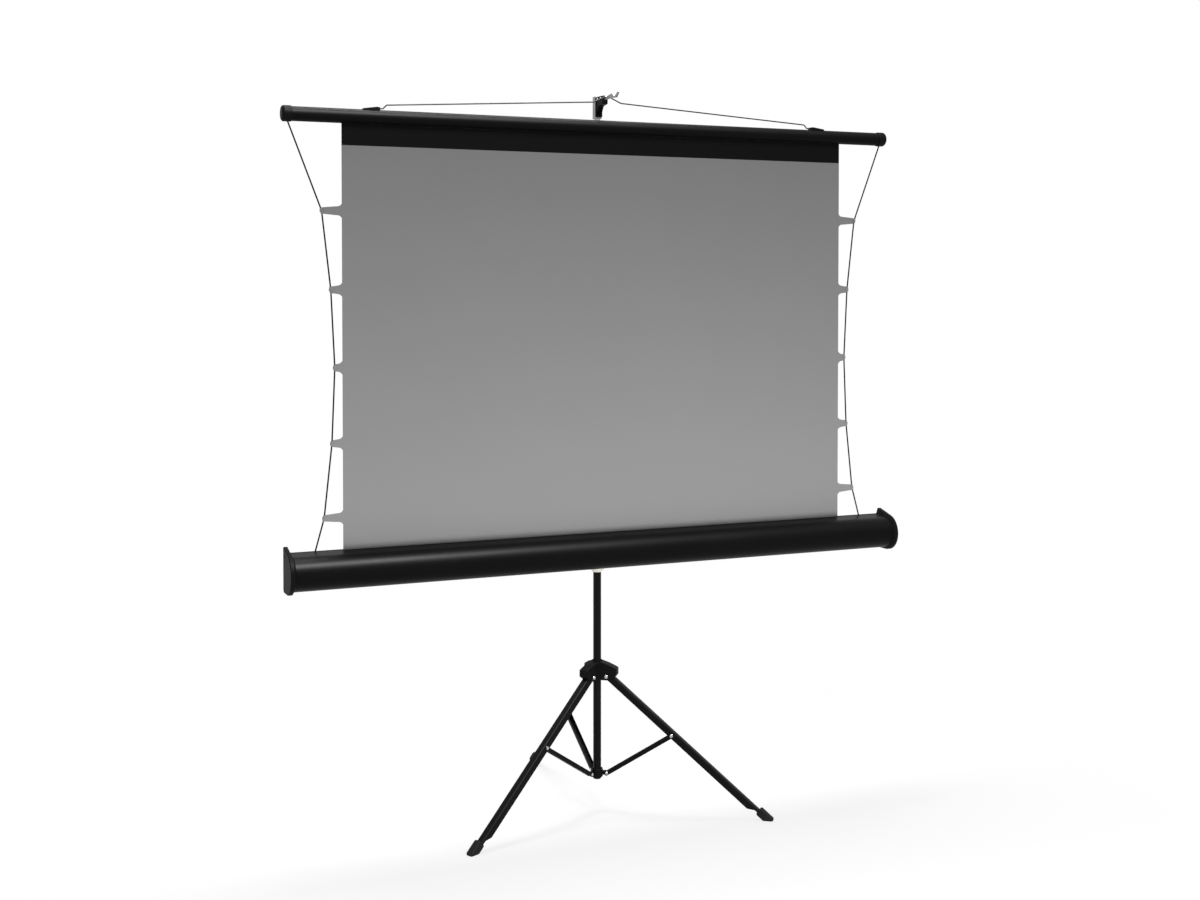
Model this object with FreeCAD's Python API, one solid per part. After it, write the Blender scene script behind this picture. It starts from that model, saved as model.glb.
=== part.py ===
import FreeCAD
import Part
import math
import os

# Portable projection screen on a folding tripod, in millimetres.
# The origin is on the floor under the column's axis: X runs along the screen, the screen faces -Y, Z is up.

V = FreeCAD.Vector

# Fits
RUN_FIT = 0.05          # radial play of a pin in its hole
SEAT_FIT = 0.1          # play of a piece seated in another
SLIDE_FIT = 0.3         # radial gap of sliding tubes and collars
SIDE_PLAY = 0.4         # side gap of a leg in its hood and of a lug in its stay
TINY = 1e-6

# Column
COLUMN_OD = 19.0
COLUMN_WALL = 1.0
COLUMN_OVER = 13.0      # of the column over the case's ridge
PLUG_HEAD = 5.0
PLUG_STEM = 14.0

# Tripod
TRIPOD_TURN = -5.0      # the tripod stands a little turned under the screen
LEG_SIDES = {"left": 210.0, "right": 330.0, "rear": 96.0}
LEG_ANGLE = 49.5        # from the vertical, opened
LEG_LENGTH = 505.0      # from the pivot to the floor along the foot's middle line
LEG_PIVOT_R = 24.0
LEG_TO_STAY = 206.5
LEG_WIDTH = 19.0
LEG_HEIGHT = 16.0
LEG_WALL = 1.2
LEG_EDGE = 5.0          # from the rivet line to the channel's open edge
LEG_CROWN = 4.0
LEG_HEEL = 9.0          # of the leg behind its pivot
LEG_HEEL_ROUND = 6.0
LEG_TOP_ROUND = 8.0
LEG_BLADE = 6.0         # height left at the tongue
LEG_NECK_ROUND = 10.0
LEG_PIN_R = 3.0
LEG_TONGUE = 18.0       # the part of the leg inside its foot
LEG_NECK = 14.0
LEG_NECK_CUT = 22.0
STAY_ANGLE = 57.6851    # from the vertical, opened
STAY_WIDTH = 13.0
STAY_HEIGHT = 10.0
STAY_WALL = 1.1
STAY_EDGE = 4.0
STAY_PIN_R = 2.4
STAY_END = 5.5
STAY_CROWN = 2.4
STAY_EDGE_ROUND = 3.9
STAY_TOP_ROUND = 4.5
STAY_MOUTH = 9.0        # open length at the collar's lug
RIVET_HEAD_R = 4.5
STAY_HEAD_R = 3.6
STAY_HEAD_HEIGHT = 1.4
FOOT_WIDTH = 25.0
FOOT_HEIGHT = 19.0
FOOT_LENGTH = 40.0      # along its middle line, to the floor
FOOT_LINE = 8.0         # height of the foot's middle line over the rivet line
FOOT_CORNER = 7.0
FOOT_MOUTH = 3.0

# Leg hub and lower collar
HUB_R = 14.6
HUB_TOP_R = 12.6
HUB_BELOW = 10.0
HUB_ABOVE = 38.0
HOOD_WALL = 2.7
HOOD_REACH = 50.0
HOOD_END_LOW = 4.0
HOOD_END_HIGH = 20.0
HOOD_ROOF = 36.0
HOOD_ROOT = 1.2         # of solid between the collar and a leg's pocket
LUG_HALF = 4.4
LUG_RING_R = 13.5
LUG_RING_HALF = 10.5

# Slide bush and carriage
BUSH_R = 12.5
BUSH_DROP = 11.0        # of the bush's end below the carriage
BUSH_CONE_R = 11.2
BUSH_FLANGE_R = 17.5
BUSH_FLANGE = 3.0
CARRIAGE_DROP = 93.0    # of the carriage's lower end below the case's ridge
CARRIAGE_HEIGHT = 50.0
CARRIAGE_WALL = 5.2
RIB_INNER = 9.0
RIB_OUTER = 14.0
FLANGE_R = 16.0
FLANGE_THICK = 7.0
PIVOT_DROP = 18.0       # of the case's bolt below the case's axis
BOLT_R = 4.0
BOLT_HEAD = 5.4
HEX_R = 7.5
BRACKET_THICK = 2.5
BRACKET_HALF = 45.0
BRACKET_DROP = 14.0     # of its top below the case's ridge
BRACKET_HEIGHT = 56.0
BRACKET_CUP_R = 12.0
BRACKET_CUP_DEPTH = 13.0
BRACKET_RIVET_X = 36.0
BRACKET_RIVET_Z = 20.0
WASHER_R = 11.0
WASHER_THICK = 1.5

# Lock knobs
LOCK_SCREW_R = 3.0
LOCK_RISE = 24.0        # of the screw over the carriage's lower end
LOCK_BOSS_R = 7.5
LOCK_BOSS_END = 27.0
LOCK_KNOB_R = 15.0
LOCK_KNOB_LENGTH = 16.0
MAST_LOCK_DROP = 14.0   # of the screw below the clamp's top
MAST_BOSS_END = 22.0
MAST_KNOB_R = 11.0
MAST_KNOB_LENGTH = 14.0
KNOB_SCALLOPS = 6

# Mast
CLAMP_R = 14.5
CLAMP_GRIP = 22.0
CLAMP_LIP = 4.0
MAST_LOWER_OD = 16.4
MAST_UPPER_OD = 14.0
MAST_WALL = 0.9
MAST_LOWER_GRIP = 98.0  # length left in the column
MAST_LOWER_SHOW = 502.0
MAST_UPPER_GRIP = 110.0
MAST_UPPER_DROP = 10.0  # of its end below the head's top
RING_HEIGHT = 12.0
RING_R = 10.2
HEAD_SIDE = 17.0
HEAD_RISE = 77.5        # of its top over the bar's middle
HEAD_HEIGHT = 52.0
HEAD_CAP = 3.0

# Hook
PLATE_RISE = 4.0        # over the head's lower end
PLATE_THICK = 3.0
BLOCK_DROP = 2.0        # below the head's top
BLOCK_HEIGHT = 19.0
BLOCK_WIDTH = 14.0
BLOCK_FRONT = -47.0
HOOK_PIN_FRONT = 9.0    # behind the block's front
HOOK_PIN_PITCH = 20.0
ARM_WIDTH = 3.0
ARM_DROP = 1.0          # of its top below the head's top
ARM_HEIGHT = 11.0
ARM_NOTCH_DEPTH = 8.0
ARM_TIP = -128.0
SECOND_NOTCH = 44.0     # from the first notch to the second
HOOK_PIN_R = 1.8

# Screen, top bar and bail
SCREEN_Y = -60.0
SHEET_THICK = 0.6
SHEET_INSET = 118.0     # of its edges from the case's ends
VIEW_HEIGHT = 884.0
LEADER_DROP = 47.5      # from the bar's underside to the grey sheet
BAR_R = 16.0
BAR_WALL = 0.9
BAR_SLOT = 5.0
BAR_INSET = 4.0         # of the bar's ends from the case's ends
BAR_CAP_R = 17.5
BAR_CAP_OVER = 4.0
BAR_CAP_END = 17.0
LEADER_ROD_R = 3.5
WIRE_R = 1.5
WIRE_IN_CLIP = 21.0
CLIP_INSET = 161.0      # of a clip from the bar's end
CLIP_LENGTH = 38.0
CLIP_HALF_WIDTH = 7.0
WIRE_SEAT = 3.2         # height of the wire's ends over the bar's top
WIRE_STEP = 8.4
WIRE_HUMP_X = 35.0
WIRE_HUMP_DROP = 12.5
CORD_R = 1.45
CORD_BEND = 60.0
CORD_BAR_OUT = 5.5      # beyond the bar's end
CORD_BAR_DEPTH = 7.0
TAB_REACH = [44.5, 25.0, 17.0, 24.0, 42.0]
TAB_SHARE = [0.83824, 0.64367, 0.45136, 0.26414, 0.08032]
CORD_CASE_OUT = 5.5     # beyond the roller's end
TAB_ROOT = 15.5
TAB_NECK = 10.8
TAB_TIP = 6.5
TAB_OVER = 4.5
SLEEVE_R = 2.9
SLEEVE_LENGTH = 13.0

# Case and roller
CASE_Y = -92.0
CASE_R = 38.0
CASE_REAR = 38.0
CASE_WALL = 0.9
CASE_FACET = 6.0        # slope of the case's top
CASE_CORNER = 8.0
CASE_HALF = 748.0
SLOT_FRONT = 29.0       # front lip of the slot, from the roller's axis
CASE_RIDGE_Z = 675.0
CAP_RIM = 6.0
CAP_SLOPE = 15.0
CAP_FLARE = 4.0
CAP_THICK = 9.0
CAP_ROUND = 2.0
SPIGOT_LENGTH = 14.0
SPIGOT_WALL = 2.0
SCREW_INSET = 5.4       # from the case's back and bottom
SCREW_FROM_SLOT = 6.0
SCREW_DEPTH = 4.3       # below the case's top
SCREW_BOSS_R = 3.8
SCREW_R = 1.5
SCREW_HEAD_R = 3.4
SCREW_HEAD = 2.4
PIN_R = 5.0
PIN_REACH = 12.0        # inside the roller
ARBOR_REACH = 398.0
SPRING_R = 8.6
ROLLER_R = 27.0
ROLLER_WALL = 0.8
ROLLER_INSET = 50.0     # of its ends from the case's ends
ROLLER_FLANGE_R = 30.0
ROLLER_FLANGE = 8.0
PLUG_LENGTH = 24.0


def rise(angle):
    """Slope of a line at this angle in degrees."""
    return math.tan(math.radians(angle))


# Heights and reaches that follow from the sizes above
COLUMN_R = COLUMN_OD / 2.0
COLUMN_TOP = CASE_RIDGE_Z + COLUMN_OVER
LEG_SIN = math.sin(math.radians(LEG_ANGLE))
LEG_COS = math.cos(math.radians(LEG_ANGLE))
LEG_PIVOT_Z = LEG_LENGTH * LEG_COS - FOOT_LINE * LEG_SIN
STAY_LENGTH = LEG_TO_STAY * LEG_SIN / math.sin(math.radians(STAY_ANGLE))
STAY_TOP_Z = LEG_PIVOT_Z - LEG_TO_STAY * LEG_COS
STAY_PIVOT_Z = STAY_TOP_Z - STAY_LENGTH * math.cos(math.radians(STAY_ANGLE))
COLUMN_LOW = STAY_PIVOT_Z - LUG_RING_HALF
CLAMP_LOW = COLUMN_TOP - CLAMP_GRIP
CLAMP_TOP = COLUMN_TOP + CLAMP_LIP
MAST_LOCK_Z = CLAMP_TOP - MAST_LOCK_DROP
LEG_END = LEG_LENGTH - FOOT_LENGTH + LEG_TONGUE
RIDGE_RUN = SLOT_FRONT + CASE_R * math.sin(math.radians(CASE_FACET))
CASE_Z = CASE_RIDGE_Z - CASE_R * math.cos(math.radians(CASE_FACET)) - RIDGE_RUN * rise(CASE_FACET)
CASE_BACK_Y = CASE_Y + CASE_REAR
PIVOT_Z = CASE_Z - PIVOT_DROP
CARRIAGE_LOW = CASE_RIDGE_Z - CARRIAGE_DROP
CARRIAGE_HIGH = CARRIAGE_LOW + CARRIAGE_HEIGHT
LOCK_Z = CARRIAGE_LOW + LOCK_RISE
BRACKET_HIGH = CASE_RIDGE_Z - BRACKET_DROP
BRACKET_LOW = BRACKET_HIGH - BRACKET_HEIGHT
ROLLER_HALF = CASE_HALF - ROLLER_INSET
SHEET_HALF = CASE_HALF - SHEET_INSET
BAR_HALF = CASE_HALF - BAR_INSET
SHEET_TOP = CASE_RIDGE_Z + VIEW_HEIGHT
BAR_Z = SHEET_TOP + LEADER_DROP + BAR_R
BAR_IN = BAR_R - BAR_WALL
HEAD_HIGH = BAR_Z + HEAD_RISE
HEAD_LOW = HEAD_HIGH - HEAD_HEIGHT
PLATE_LOW = HEAD_LOW + PLATE_RISE
BLOCK_HIGH = HEAD_HIGH - BLOCK_DROP
BLOCK_LOW = BLOCK_HIGH - BLOCK_HEIGHT
ARM_TOP = HEAD_HIGH - ARM_DROP
ARM_LOW = ARM_TOP - ARM_HEIGHT
ARM_NOTCH = ARM_TOP - ARM_NOTCH_DEPTH
MAST_LOWER_LOW = COLUMN_TOP - MAST_LOWER_GRIP
MAST_LOWER_HIGH = COLUMN_TOP + MAST_LOWER_SHOW
MAST_UPPER_LOW = MAST_LOWER_HIGH - MAST_UPPER_GRIP
MAST_UPPER_HIGH = HEAD_HIGH - MAST_UPPER_DROP
CLIP_OUTER = BAR_HALF - CLIP_INSET
CLIP_INNER = CLIP_OUTER - CLIP_LENGTH
WIRE_END = CLIP_INNER + WIRE_IN_CLIP
CORD_BAR_X = BAR_HALF + CORD_BAR_OUT
CORD_CASE_X = ROLLER_HALF + CORD_CASE_OUT
TAB_X = [SHEET_HALF + reach for reach in TAB_REACH]
TAB_Z = [CASE_RIDGE_Z + VIEW_HEIGHT * share for share in TAB_SHARE]
ROLL_R = SCREEN_Y - CASE_Y - SHEET_THICK / 2.0 - SLIDE_FIT
SLOT_EDGE_Z = BAR_Z - math.sqrt(BAR_IN ** 2 - (BAR_SLOT / 2.0) ** 2)
ROD_Z = SLOT_EDGE_Z + math.sqrt(LEADER_ROD_R ** 2 - (BAR_SLOT / 2.0) ** 2) + SLIDE_FIT
LEADER_TOP = ROD_Z - LEADER_ROD_R - SLIDE_FIT
WIRE_LOW_Z = BAR_Z + BAR_R + WIRE_SEAT
WIRE_TOP_Z = ARM_NOTCH + WIRE_R + RUN_FIT
CAP_FACE = CASE_HALF + CAP_FLARE + CAP_THICK


def bent_edges(corners, closed):
    """Lines through corner points, each corner rounded by a tangent arc of its own radius."""
    count = len(corners)
    stops = []
    for index, (point, radius) in enumerate(corners):
        if radius == 0.0:
            stops.append((point, None, point))
            continue
        before = (point - corners[index - 1][0]).normalize()
        after = (corners[(index + 1) % count][0] - point).normalize()
        turn = before.getAngle(after)
        reach = radius * math.tan(turn / 2.0)
        inward = (after - before).normalize()
        middle = point + inward * (radius / math.cos(turn / 2.0) - radius)
        stops.append((point - before * reach, middle, point + after * reach))
    edges = []
    for index, (start, middle, end) in enumerate(stops):
        if middle is not None:
            edges.append(Part.Arc(start, middle, end).toShape())
        if closed or index < count - 1:
            following = stops[(index + 1) % count][0]
            if end.distanceToPoint(following) > TINY:
                edges.append(Part.LineSegment(end, following).toShape())
    return edges


def on_plane(plane, first, second, offset):
    """Point of a named plane at this offset along the plane's normal."""
    if plane == "yz":
        return V(offset, first, second)
    if plane == "xz":
        return V(first, offset, second)
    return V(first, second, offset)


def outline(plane, corners, offset):
    """Closed wire of rounded corners, each given as two coordinates and a radius."""
    points = [(on_plane(plane, a, b, offset), radius) for a, b, radius in corners]
    return Part.Wire(bent_edges(points, True))


def prism(plane, corners, low, high):
    """Outline carried along its plane's normal from low to high."""
    travel = on_plane(plane, 0.0, 0.0, high - low)
    return Part.Face(outline(plane, corners, low)).extrude(travel)


def turned(corners):
    """Outline of radius and height turned about the column's axis."""
    return Part.Face(outline("xz", corners, 0.0)).revolve(V(0, 0, 0), V(0, 0, 1), 360.0)


def rod(radius, start, end):
    """Round bar between two points."""
    way = end - start
    return Part.makeCylinder(radius, way.Length, start, way)


def tube(radius, inner, start, end):
    """Round tube between two points."""
    return rod(radius, start, end).cut(rod(inner, start, end))


def block(low, high):
    """Box between two opposite corners."""
    size = high - low
    return Part.makeBox(size.x, size.y, size.z, low)


def hexagon(radius, start, end):
    """Six-sided bar along Y."""
    corners = []
    for index in range(6):
        angle = math.radians(60.0 * index)
        corners.append((start.x + radius * math.cos(angle), start.z + radius * math.sin(angle), 0.0))
    return prism("xz", corners, start.y, end.y)


def aimed(solid, direction):
    """Solid built along +Z from the origin, swung so that it points this way."""
    copy = solid.copy()
    copy.Placement = FreeCAD.Placement(V(0, 0, 0), FreeCAD.Rotation(V(0, 0, 1), direction))
    return copy


def dome(radius, height, base, direction):
    """Low round rivet head on its base point."""
    shoulder = height * 0.25
    crown = radius * 0.3
    curve = V(radius * 0.76, 0, shoulder + (height - shoulder) * 0.72)
    edges = [
        Part.LineSegment(V(0, 0, 0), V(radius, 0, 0)).toShape(),
        Part.LineSegment(V(radius, 0, 0), V(radius, 0, shoulder)).toShape(),
        Part.Arc(V(radius, 0, shoulder), curve, V(crown, 0, height)).toShape(),
        Part.LineSegment(V(crown, 0, height), V(0, 0, height)).toShape(),
        Part.LineSegment(V(0, 0, height), V(0, 0, 0)).toShape(),
    ]
    head = Part.Face(Part.Wire(edges)).revolve(V(0, 0, 0), V(0, 0, 1), 360.0)
    head = aimed(head, direction)
    head.translate(base)
    return head


def rivet(centre, direction, grip, radius, head_r, head_height):
    """Shank through half the grip on each side, with a low head at each end."""
    reach = direction * grip
    shank = rod(radius, centre - reach, centre + reach)
    heads = [
        dome(head_r, head_height, centre + reach, direction),
        dome(head_r, head_height, centre - reach, direction * -1.0),
    ]
    return shank.fuse(heads).removeSplitter()


def joined(first, others):
    """One solid from pieces that meet."""
    return first.fuse(others).removeSplitter()


def group(solids):
    """Alike pieces kept apart in one node."""
    return Part.makeCompound(solids)


def around(solid, azimuth):
    """Piece built towards +X, swung to its place round the column."""
    copy = solid.copy()
    copy.rotate(V(0, 0, 0), V(0, 0, 1), azimuth)
    return copy


def azimuth_of(side):
    """Direction of one leg round the column."""
    return LEG_SIDES[side] + TRIPOD_TURN


def on_leg(solid):
    """Piece built along +X from the leg's pivot, laid on the opened leg that points to +X."""
    copy = solid.copy()
    copy.rotate(V(0, 0, 0), V(0, 1, 0), 90.0 - LEG_ANGLE)
    copy.translate(V(LEG_PIVOT_R, 0, LEG_PIVOT_Z))
    return copy


def on_stay(solid):
    """Piece built along +X from the stay's upper pivot, laid on the opened stay."""
    copy = solid.copy()
    copy.rotate(V(0, 0, 0), V(0, 1, 0), 90.0 + STAY_ANGLE)
    copy.translate(V(LEG_PIVOT_R + LEG_TO_STAY * LEG_SIN, 0, STAY_TOP_Z))
    return copy


def column_tube():
    """Round column with the hole for the mast's lock screw."""
    body = tube(COLUMN_R, COLUMN_R - COLUMN_WALL, V(0, 0, COLUMN_LOW), V(0, 0, COLUMN_TOP))
    hole = rod(LOCK_SCREW_R + SLIDE_FIT, V(0, 0, MAST_LOCK_Z), V(0, CLAMP_R, MAST_LOCK_Z))
    return body.cut(hole)


def column_plug():
    """Plug that closes the column's foot."""
    stem = COLUMN_R - COLUMN_WALL - SEAT_FIT
    low = COLUMN_LOW - PLUG_HEAD
    return turned([
        (0.0, low, 0.0),
        (COLUMN_R, low, 2.5),
        (COLUMN_R, COLUMN_LOW, 0.0),
        (stem, COLUMN_LOW, 0.0),
        (stem, COLUMN_LOW + PLUG_STEM, 1.0),
        (0.0, COLUMN_LOW + PLUG_STEM, 0.0),
    ])


def stay_lug_half():
    """Half the width of a lug between its stay's walls."""
    return STAY_WIDTH / 2.0 - STAY_WALL - SIDE_PLAY


def stay_collar():
    """Ring pinned at the column's foot, with a lug for each stay."""
    low = STAY_PIVOT_Z - LUG_RING_HALF
    high = STAY_PIVOT_Z + LUG_RING_HALF
    body = turned([
        (COLUMN_R - 1.0, low, 0.0),
        (LUG_RING_R, low, 1.5),
        (LUG_RING_R, high, 2.0),
        (COLUMN_R - 1.0, high, 0.0),
    ])
    tip = LEG_PIVOT_R + LUG_HALF
    half = stay_lug_half()
    for side in LEG_SIDES:
        lug = prism("xz", [
            (COLUMN_R, STAY_PIVOT_Z - LUG_HALF, 0.0),
            (tip, STAY_PIVOT_Z - LUG_HALF, LUG_HALF - 0.1),
            (tip, STAY_PIVOT_Z + LUG_HALF, LUG_HALF - 0.1),
            (COLUMN_R, STAY_PIVOT_Z + LUG_HALF, 0.0),
        ], -half, half)
        body = body.fuse(around(lug, azimuth_of(side)))
    body = body.removeSplitter()
    body = body.cut(rod(COLUMN_R + RUN_FIT, V(0, 0, low), V(0, 0, high)))
    for side in LEG_SIDES:
        body = body.cut(around(lug_pin(STAY_PIN_R + RUN_FIT), azimuth_of(side)))
    return body


def lug_pin(radius):
    """Pin along the lower pivot of the leg that points to +X."""
    half = stay_lug_half()
    return rod(radius, V(LEG_PIVOT_R, -half, STAY_PIVOT_Z), V(LEG_PIVOT_R, half, STAY_PIVOT_Z))


def stay_pins():
    """Pins in the collar's lugs."""
    return group([around(lug_pin(STAY_PIN_R), azimuth_of(side)) for side in LEG_SIDES])


def hood_half():
    """Half the outer width of a hood on the leg hub."""
    return LEG_WIDTH / 2.0 + SIDE_PLAY + HOOD_WALL


def leg_hub():
    """Sliding collar with three hoods that cover the legs' upper ends."""
    low = LEG_PIVOT_Z - HUB_BELOW
    high = LEG_PIVOT_Z + HUB_ABOVE
    body = turned([
        (COLUMN_R - 1.0, low, 0.0),
        (HUB_R, low, 1.5),
        (HUB_R, high - 8.0, 3.0),
        (HUB_TOP_R, high - 3.0, 2.0),
        (HUB_TOP_R, high, 1.2),
        (COLUMN_R - 1.0, high, 0.0),
    ])
    half = hood_half()
    inner = half - HOOD_WALL
    pivot = V(LEG_PIVOT_R, 0, LEG_PIVOT_Z)
    hoods = []
    pockets = []
    for side in LEG_SIDES:
        hood = prism("xz", [
            (COLUMN_R, LEG_PIVOT_Z - HUB_BELOW + 1.0, 0.0),
            (LEG_PIVOT_R + 8.0, LEG_PIVOT_Z - HUB_BELOW + 1.0, 7.0),
            (HOOD_REACH, LEG_PIVOT_Z + HOOD_END_LOW, 3.0),
            (HOOD_REACH, LEG_PIVOT_Z + HOOD_END_HIGH, 5.0),
            (LEG_PIVOT_R + 4.0, LEG_PIVOT_Z + HOOD_ROOF - 6.0, 14.0),
            (COLUMN_R, LEG_PIVOT_Z + HOOD_ROOF, 0.0),
        ], -half, half)
        roof = [edge for edge in hood.Edges if roof_edge(edge, half)]
        hood = hood.makeFillet(2.2, roof)
        pocket = prism("xz", [
            (HUB_R + HOOD_ROOT, low - 1.0, 0.0),
            (HOOD_REACH - HOOD_WALL, low - 1.0, 0.0),
            (HOOD_REACH - HOOD_WALL, LEG_PIVOT_Z + HOOD_END_HIGH - HOOD_WALL - 1.5, 3.0),
            (HUB_R + HOOD_ROOT, LEG_PIVOT_Z + HOOD_ROOF - 12.5, 3.0),
        ], -inner, inner)
        pin = rod(LEG_PIN_R + RUN_FIT, pivot - V(0, half + 1.0, 0), pivot + V(0, half + 1.0, 0))
        hoods.append(around(hood, azimuth_of(side)))
        pockets.append(around(pocket.fuse(pin), azimuth_of(side)))
    body = joined(body, hoods)
    body = body.cut(pockets)
    return body.cut(rod(COLUMN_R + SLIDE_FIT, V(0, 0, low - 1.0), V(0, 0, high + 1.0)))


def roof_edge(edge, half):
    """Long side edge of a hood's roof or end, away from the collar."""
    middle = edge.CenterOfMass
    on_side = abs(abs(middle.y) - half) < TINY
    return on_side and middle.x > LEG_PIVOT_R - 12.0 and middle.z > LEG_PIVOT_Z + HOOD_END_LOW


def leg_pivot_rivets():
    """Rivets on which the legs swing in the hub."""
    centre = V(LEG_PIVOT_R, 0, LEG_PIVOT_Z)
    one = rivet(centre, V(0, 1, 0), hood_half() + RUN_FIT, LEG_PIN_R, RIVET_HEAD_R, 1.8)
    return group([around(one, azimuth_of(side)) for side in LEG_SIDES])


def channel(width, edge, top, crown, wall, start, end):
    """Channel along +X, open downward, with a rounded crown."""
    half = width / 2.0
    outer = prism("yz", [
        (-half, -edge, 0.0), (half, -edge, 0.0), (half, top, crown), (-half, top, crown),
    ], start, end)
    inner = prism("yz", [
        (wall - half, -edge - 1.0, 0.0), (half - wall, -edge - 1.0, 0.0),
        (half - wall, top - wall, crown - wall), (wall - half, top - wall, crown - wall),
    ], start - 1.0, end + 1.0)
    return outer.cut(inner)


def leg(side):
    """Channel leg, rounded at the pivot and cut down to a tongue inside the foot."""
    top = LEG_HEIGHT - LEG_EDGE
    start = -LEG_HEEL
    body = channel(LEG_WIDTH, LEG_EDGE, top, LEG_CROWN, LEG_WALL, start, LEG_END)
    tongue = LEG_END - LEG_TONGUE
    profile = prism("xz", [
        (start, -LEG_EDGE, LEG_HEEL_ROUND),
        (tongue - LEG_NECK - LEG_NECK_CUT, -LEG_EDGE, LEG_NECK_ROUND),
        (tongue - LEG_NECK, top - LEG_BLADE, LEG_TOP_ROUND),
        (LEG_END, top - LEG_BLADE, 0.0),
        (LEG_END, top, 0.0),
        (start, top, LEG_TOP_ROUND),
    ], -LEG_WIDTH, LEG_WIDTH)
    body = body.common(profile)
    for place, radius in ((0.0, LEG_PIN_R), (LEG_TO_STAY, STAY_PIN_R)):
        hole = rod(radius + RUN_FIT, V(place, -LEG_WIDTH, 0), V(place, LEG_WIDTH, 0))
        body = body.cut(hole)
    return around(on_leg(body), azimuth_of(side))


def foot(side):
    """Rubber boot on the leg's tongue, its sole flat on the floor."""
    low = FOOT_LINE - FOOT_HEIGHT / 2.0
    high = FOOT_LINE + FOOT_HEIGHT / 2.0
    half = FOOT_WIDTH / 2.0
    start = LEG_LENGTH - FOOT_LENGTH
    body = prism("yz", [
        (-half, low, FOOT_CORNER), (half, low, FOOT_CORNER),
        (half, high, FOOT_CORNER), (-half, high, FOOT_CORNER),
    ], start, LEG_LENGTH + FOOT_HEIGHT)
    mouth = [edge for edge in body.Edges if edge.BoundBox.XMax < start + TINY]
    body = body.makeFillet(FOOT_MOUTH, mouth)
    pocket = block(
        V(start - 1.0, -LEG_WIDTH / 2.0 - SEAT_FIT, LEG_HEIGHT - LEG_EDGE - LEG_BLADE - SEAT_FIT),
        V(LEG_END + SEAT_FIT, LEG_WIDTH / 2.0 + SEAT_FIT, LEG_HEIGHT - LEG_EDGE + SEAT_FIT),
    )
    body = on_leg(body.cut(pocket))
    floor = block(V(0, -FOOT_WIDTH, -LEG_LENGTH), V(2.0 * LEG_LENGTH, FOOT_WIDTH, 0))
    return around(body.cut(floor), azimuth_of(side))


def leg_rivet(side):
    """Rivet that joins a stay to its leg."""
    centre = V(LEG_TO_STAY, 0, 0)
    one = rivet(centre, V(0, 1, 0), LEG_WIDTH / 2.0 + RUN_FIT, STAY_PIN_R, RIVET_HEAD_R - 0.5, 1.6)
    return around(on_leg(one), azimuth_of(side))


def stay(side):
    """Channel stay that folds up inside its leg, its end open for the collar's lug."""
    top = STAY_HEIGHT - STAY_EDGE
    low = -STAY_END
    high = STAY_LENGTH + STAY_END
    body = channel(STAY_WIDTH, STAY_EDGE, top, STAY_CROWN, STAY_WALL, low, high)
    profile = prism("xz", [
        (low, -STAY_EDGE, STAY_EDGE_ROUND), (high, -STAY_EDGE, STAY_EDGE_ROUND),
        (high, top, STAY_TOP_ROUND), (low, top, STAY_TOP_ROUND),
    ], -STAY_WIDTH, STAY_WIDTH)
    body = body.common(profile)
    inner = STAY_WIDTH / 2.0 - STAY_WALL
    gap = block(V(STAY_LENGTH - STAY_MOUTH, -inner, 0), V(high + 1.0, inner, STAY_HEIGHT))
    body = body.cut(gap)
    for place in (0.0, STAY_LENGTH):
        body = body.cut(rod(STAY_PIN_R + RUN_FIT, V(place, -STAY_WIDTH, 0), V(place, STAY_WIDTH, 0)))
    return around(on_stay(body), azimuth_of(side))


def stay_rivets(side):
    """Rivet heads on the outside of a stay's lower end."""
    outer = STAY_WIDTH / 2.0
    heads = []
    for sign in (-1.0, 1.0):
        way = V(0, sign, 0)
        base = V(STAY_LENGTH, sign * (outer + RUN_FIT), 0)
        shank = rod(STAY_PIN_R, V(STAY_LENGTH, sign * (outer - STAY_WALL), 0), base)
        head = joined(shank, [dome(STAY_HEAD_R, STAY_HEAD_HEIGHT, base, way)])
        heads.append(head)
    return around(on_stay(group(heads)), azimuth_of(side))


def slide_bush():
    """Nylon bush that slides on the column and carries the carriage on its flange."""
    bore = COLUMN_R + SLIDE_FIT
    low = CARRIAGE_LOW - BUSH_DROP
    high = CARRIAGE_HIGH + 4.0
    return turned([
        (bore, low, 0.0),
        (BUSH_CONE_R, low, 0.0),
        (BUSH_FLANGE_R, CARRIAGE_LOW - BUSH_FLANGE, 1.0),
        (BUSH_FLANGE_R, CARRIAGE_LOW, 0.6),
        (BUSH_R, CARRIAGE_LOW, 0.0),
        (BUSH_R, high, 0.8),
        (bore, high, 0.0),
    ])


def flange_front():
    """Y of the carriage flange's front face, behind the bracket's cup and washer."""
    return CASE_BACK_Y + BRACKET_THICK + BRACKET_CUP_DEPTH + WASHER_THICK + RUN_FIT


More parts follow.
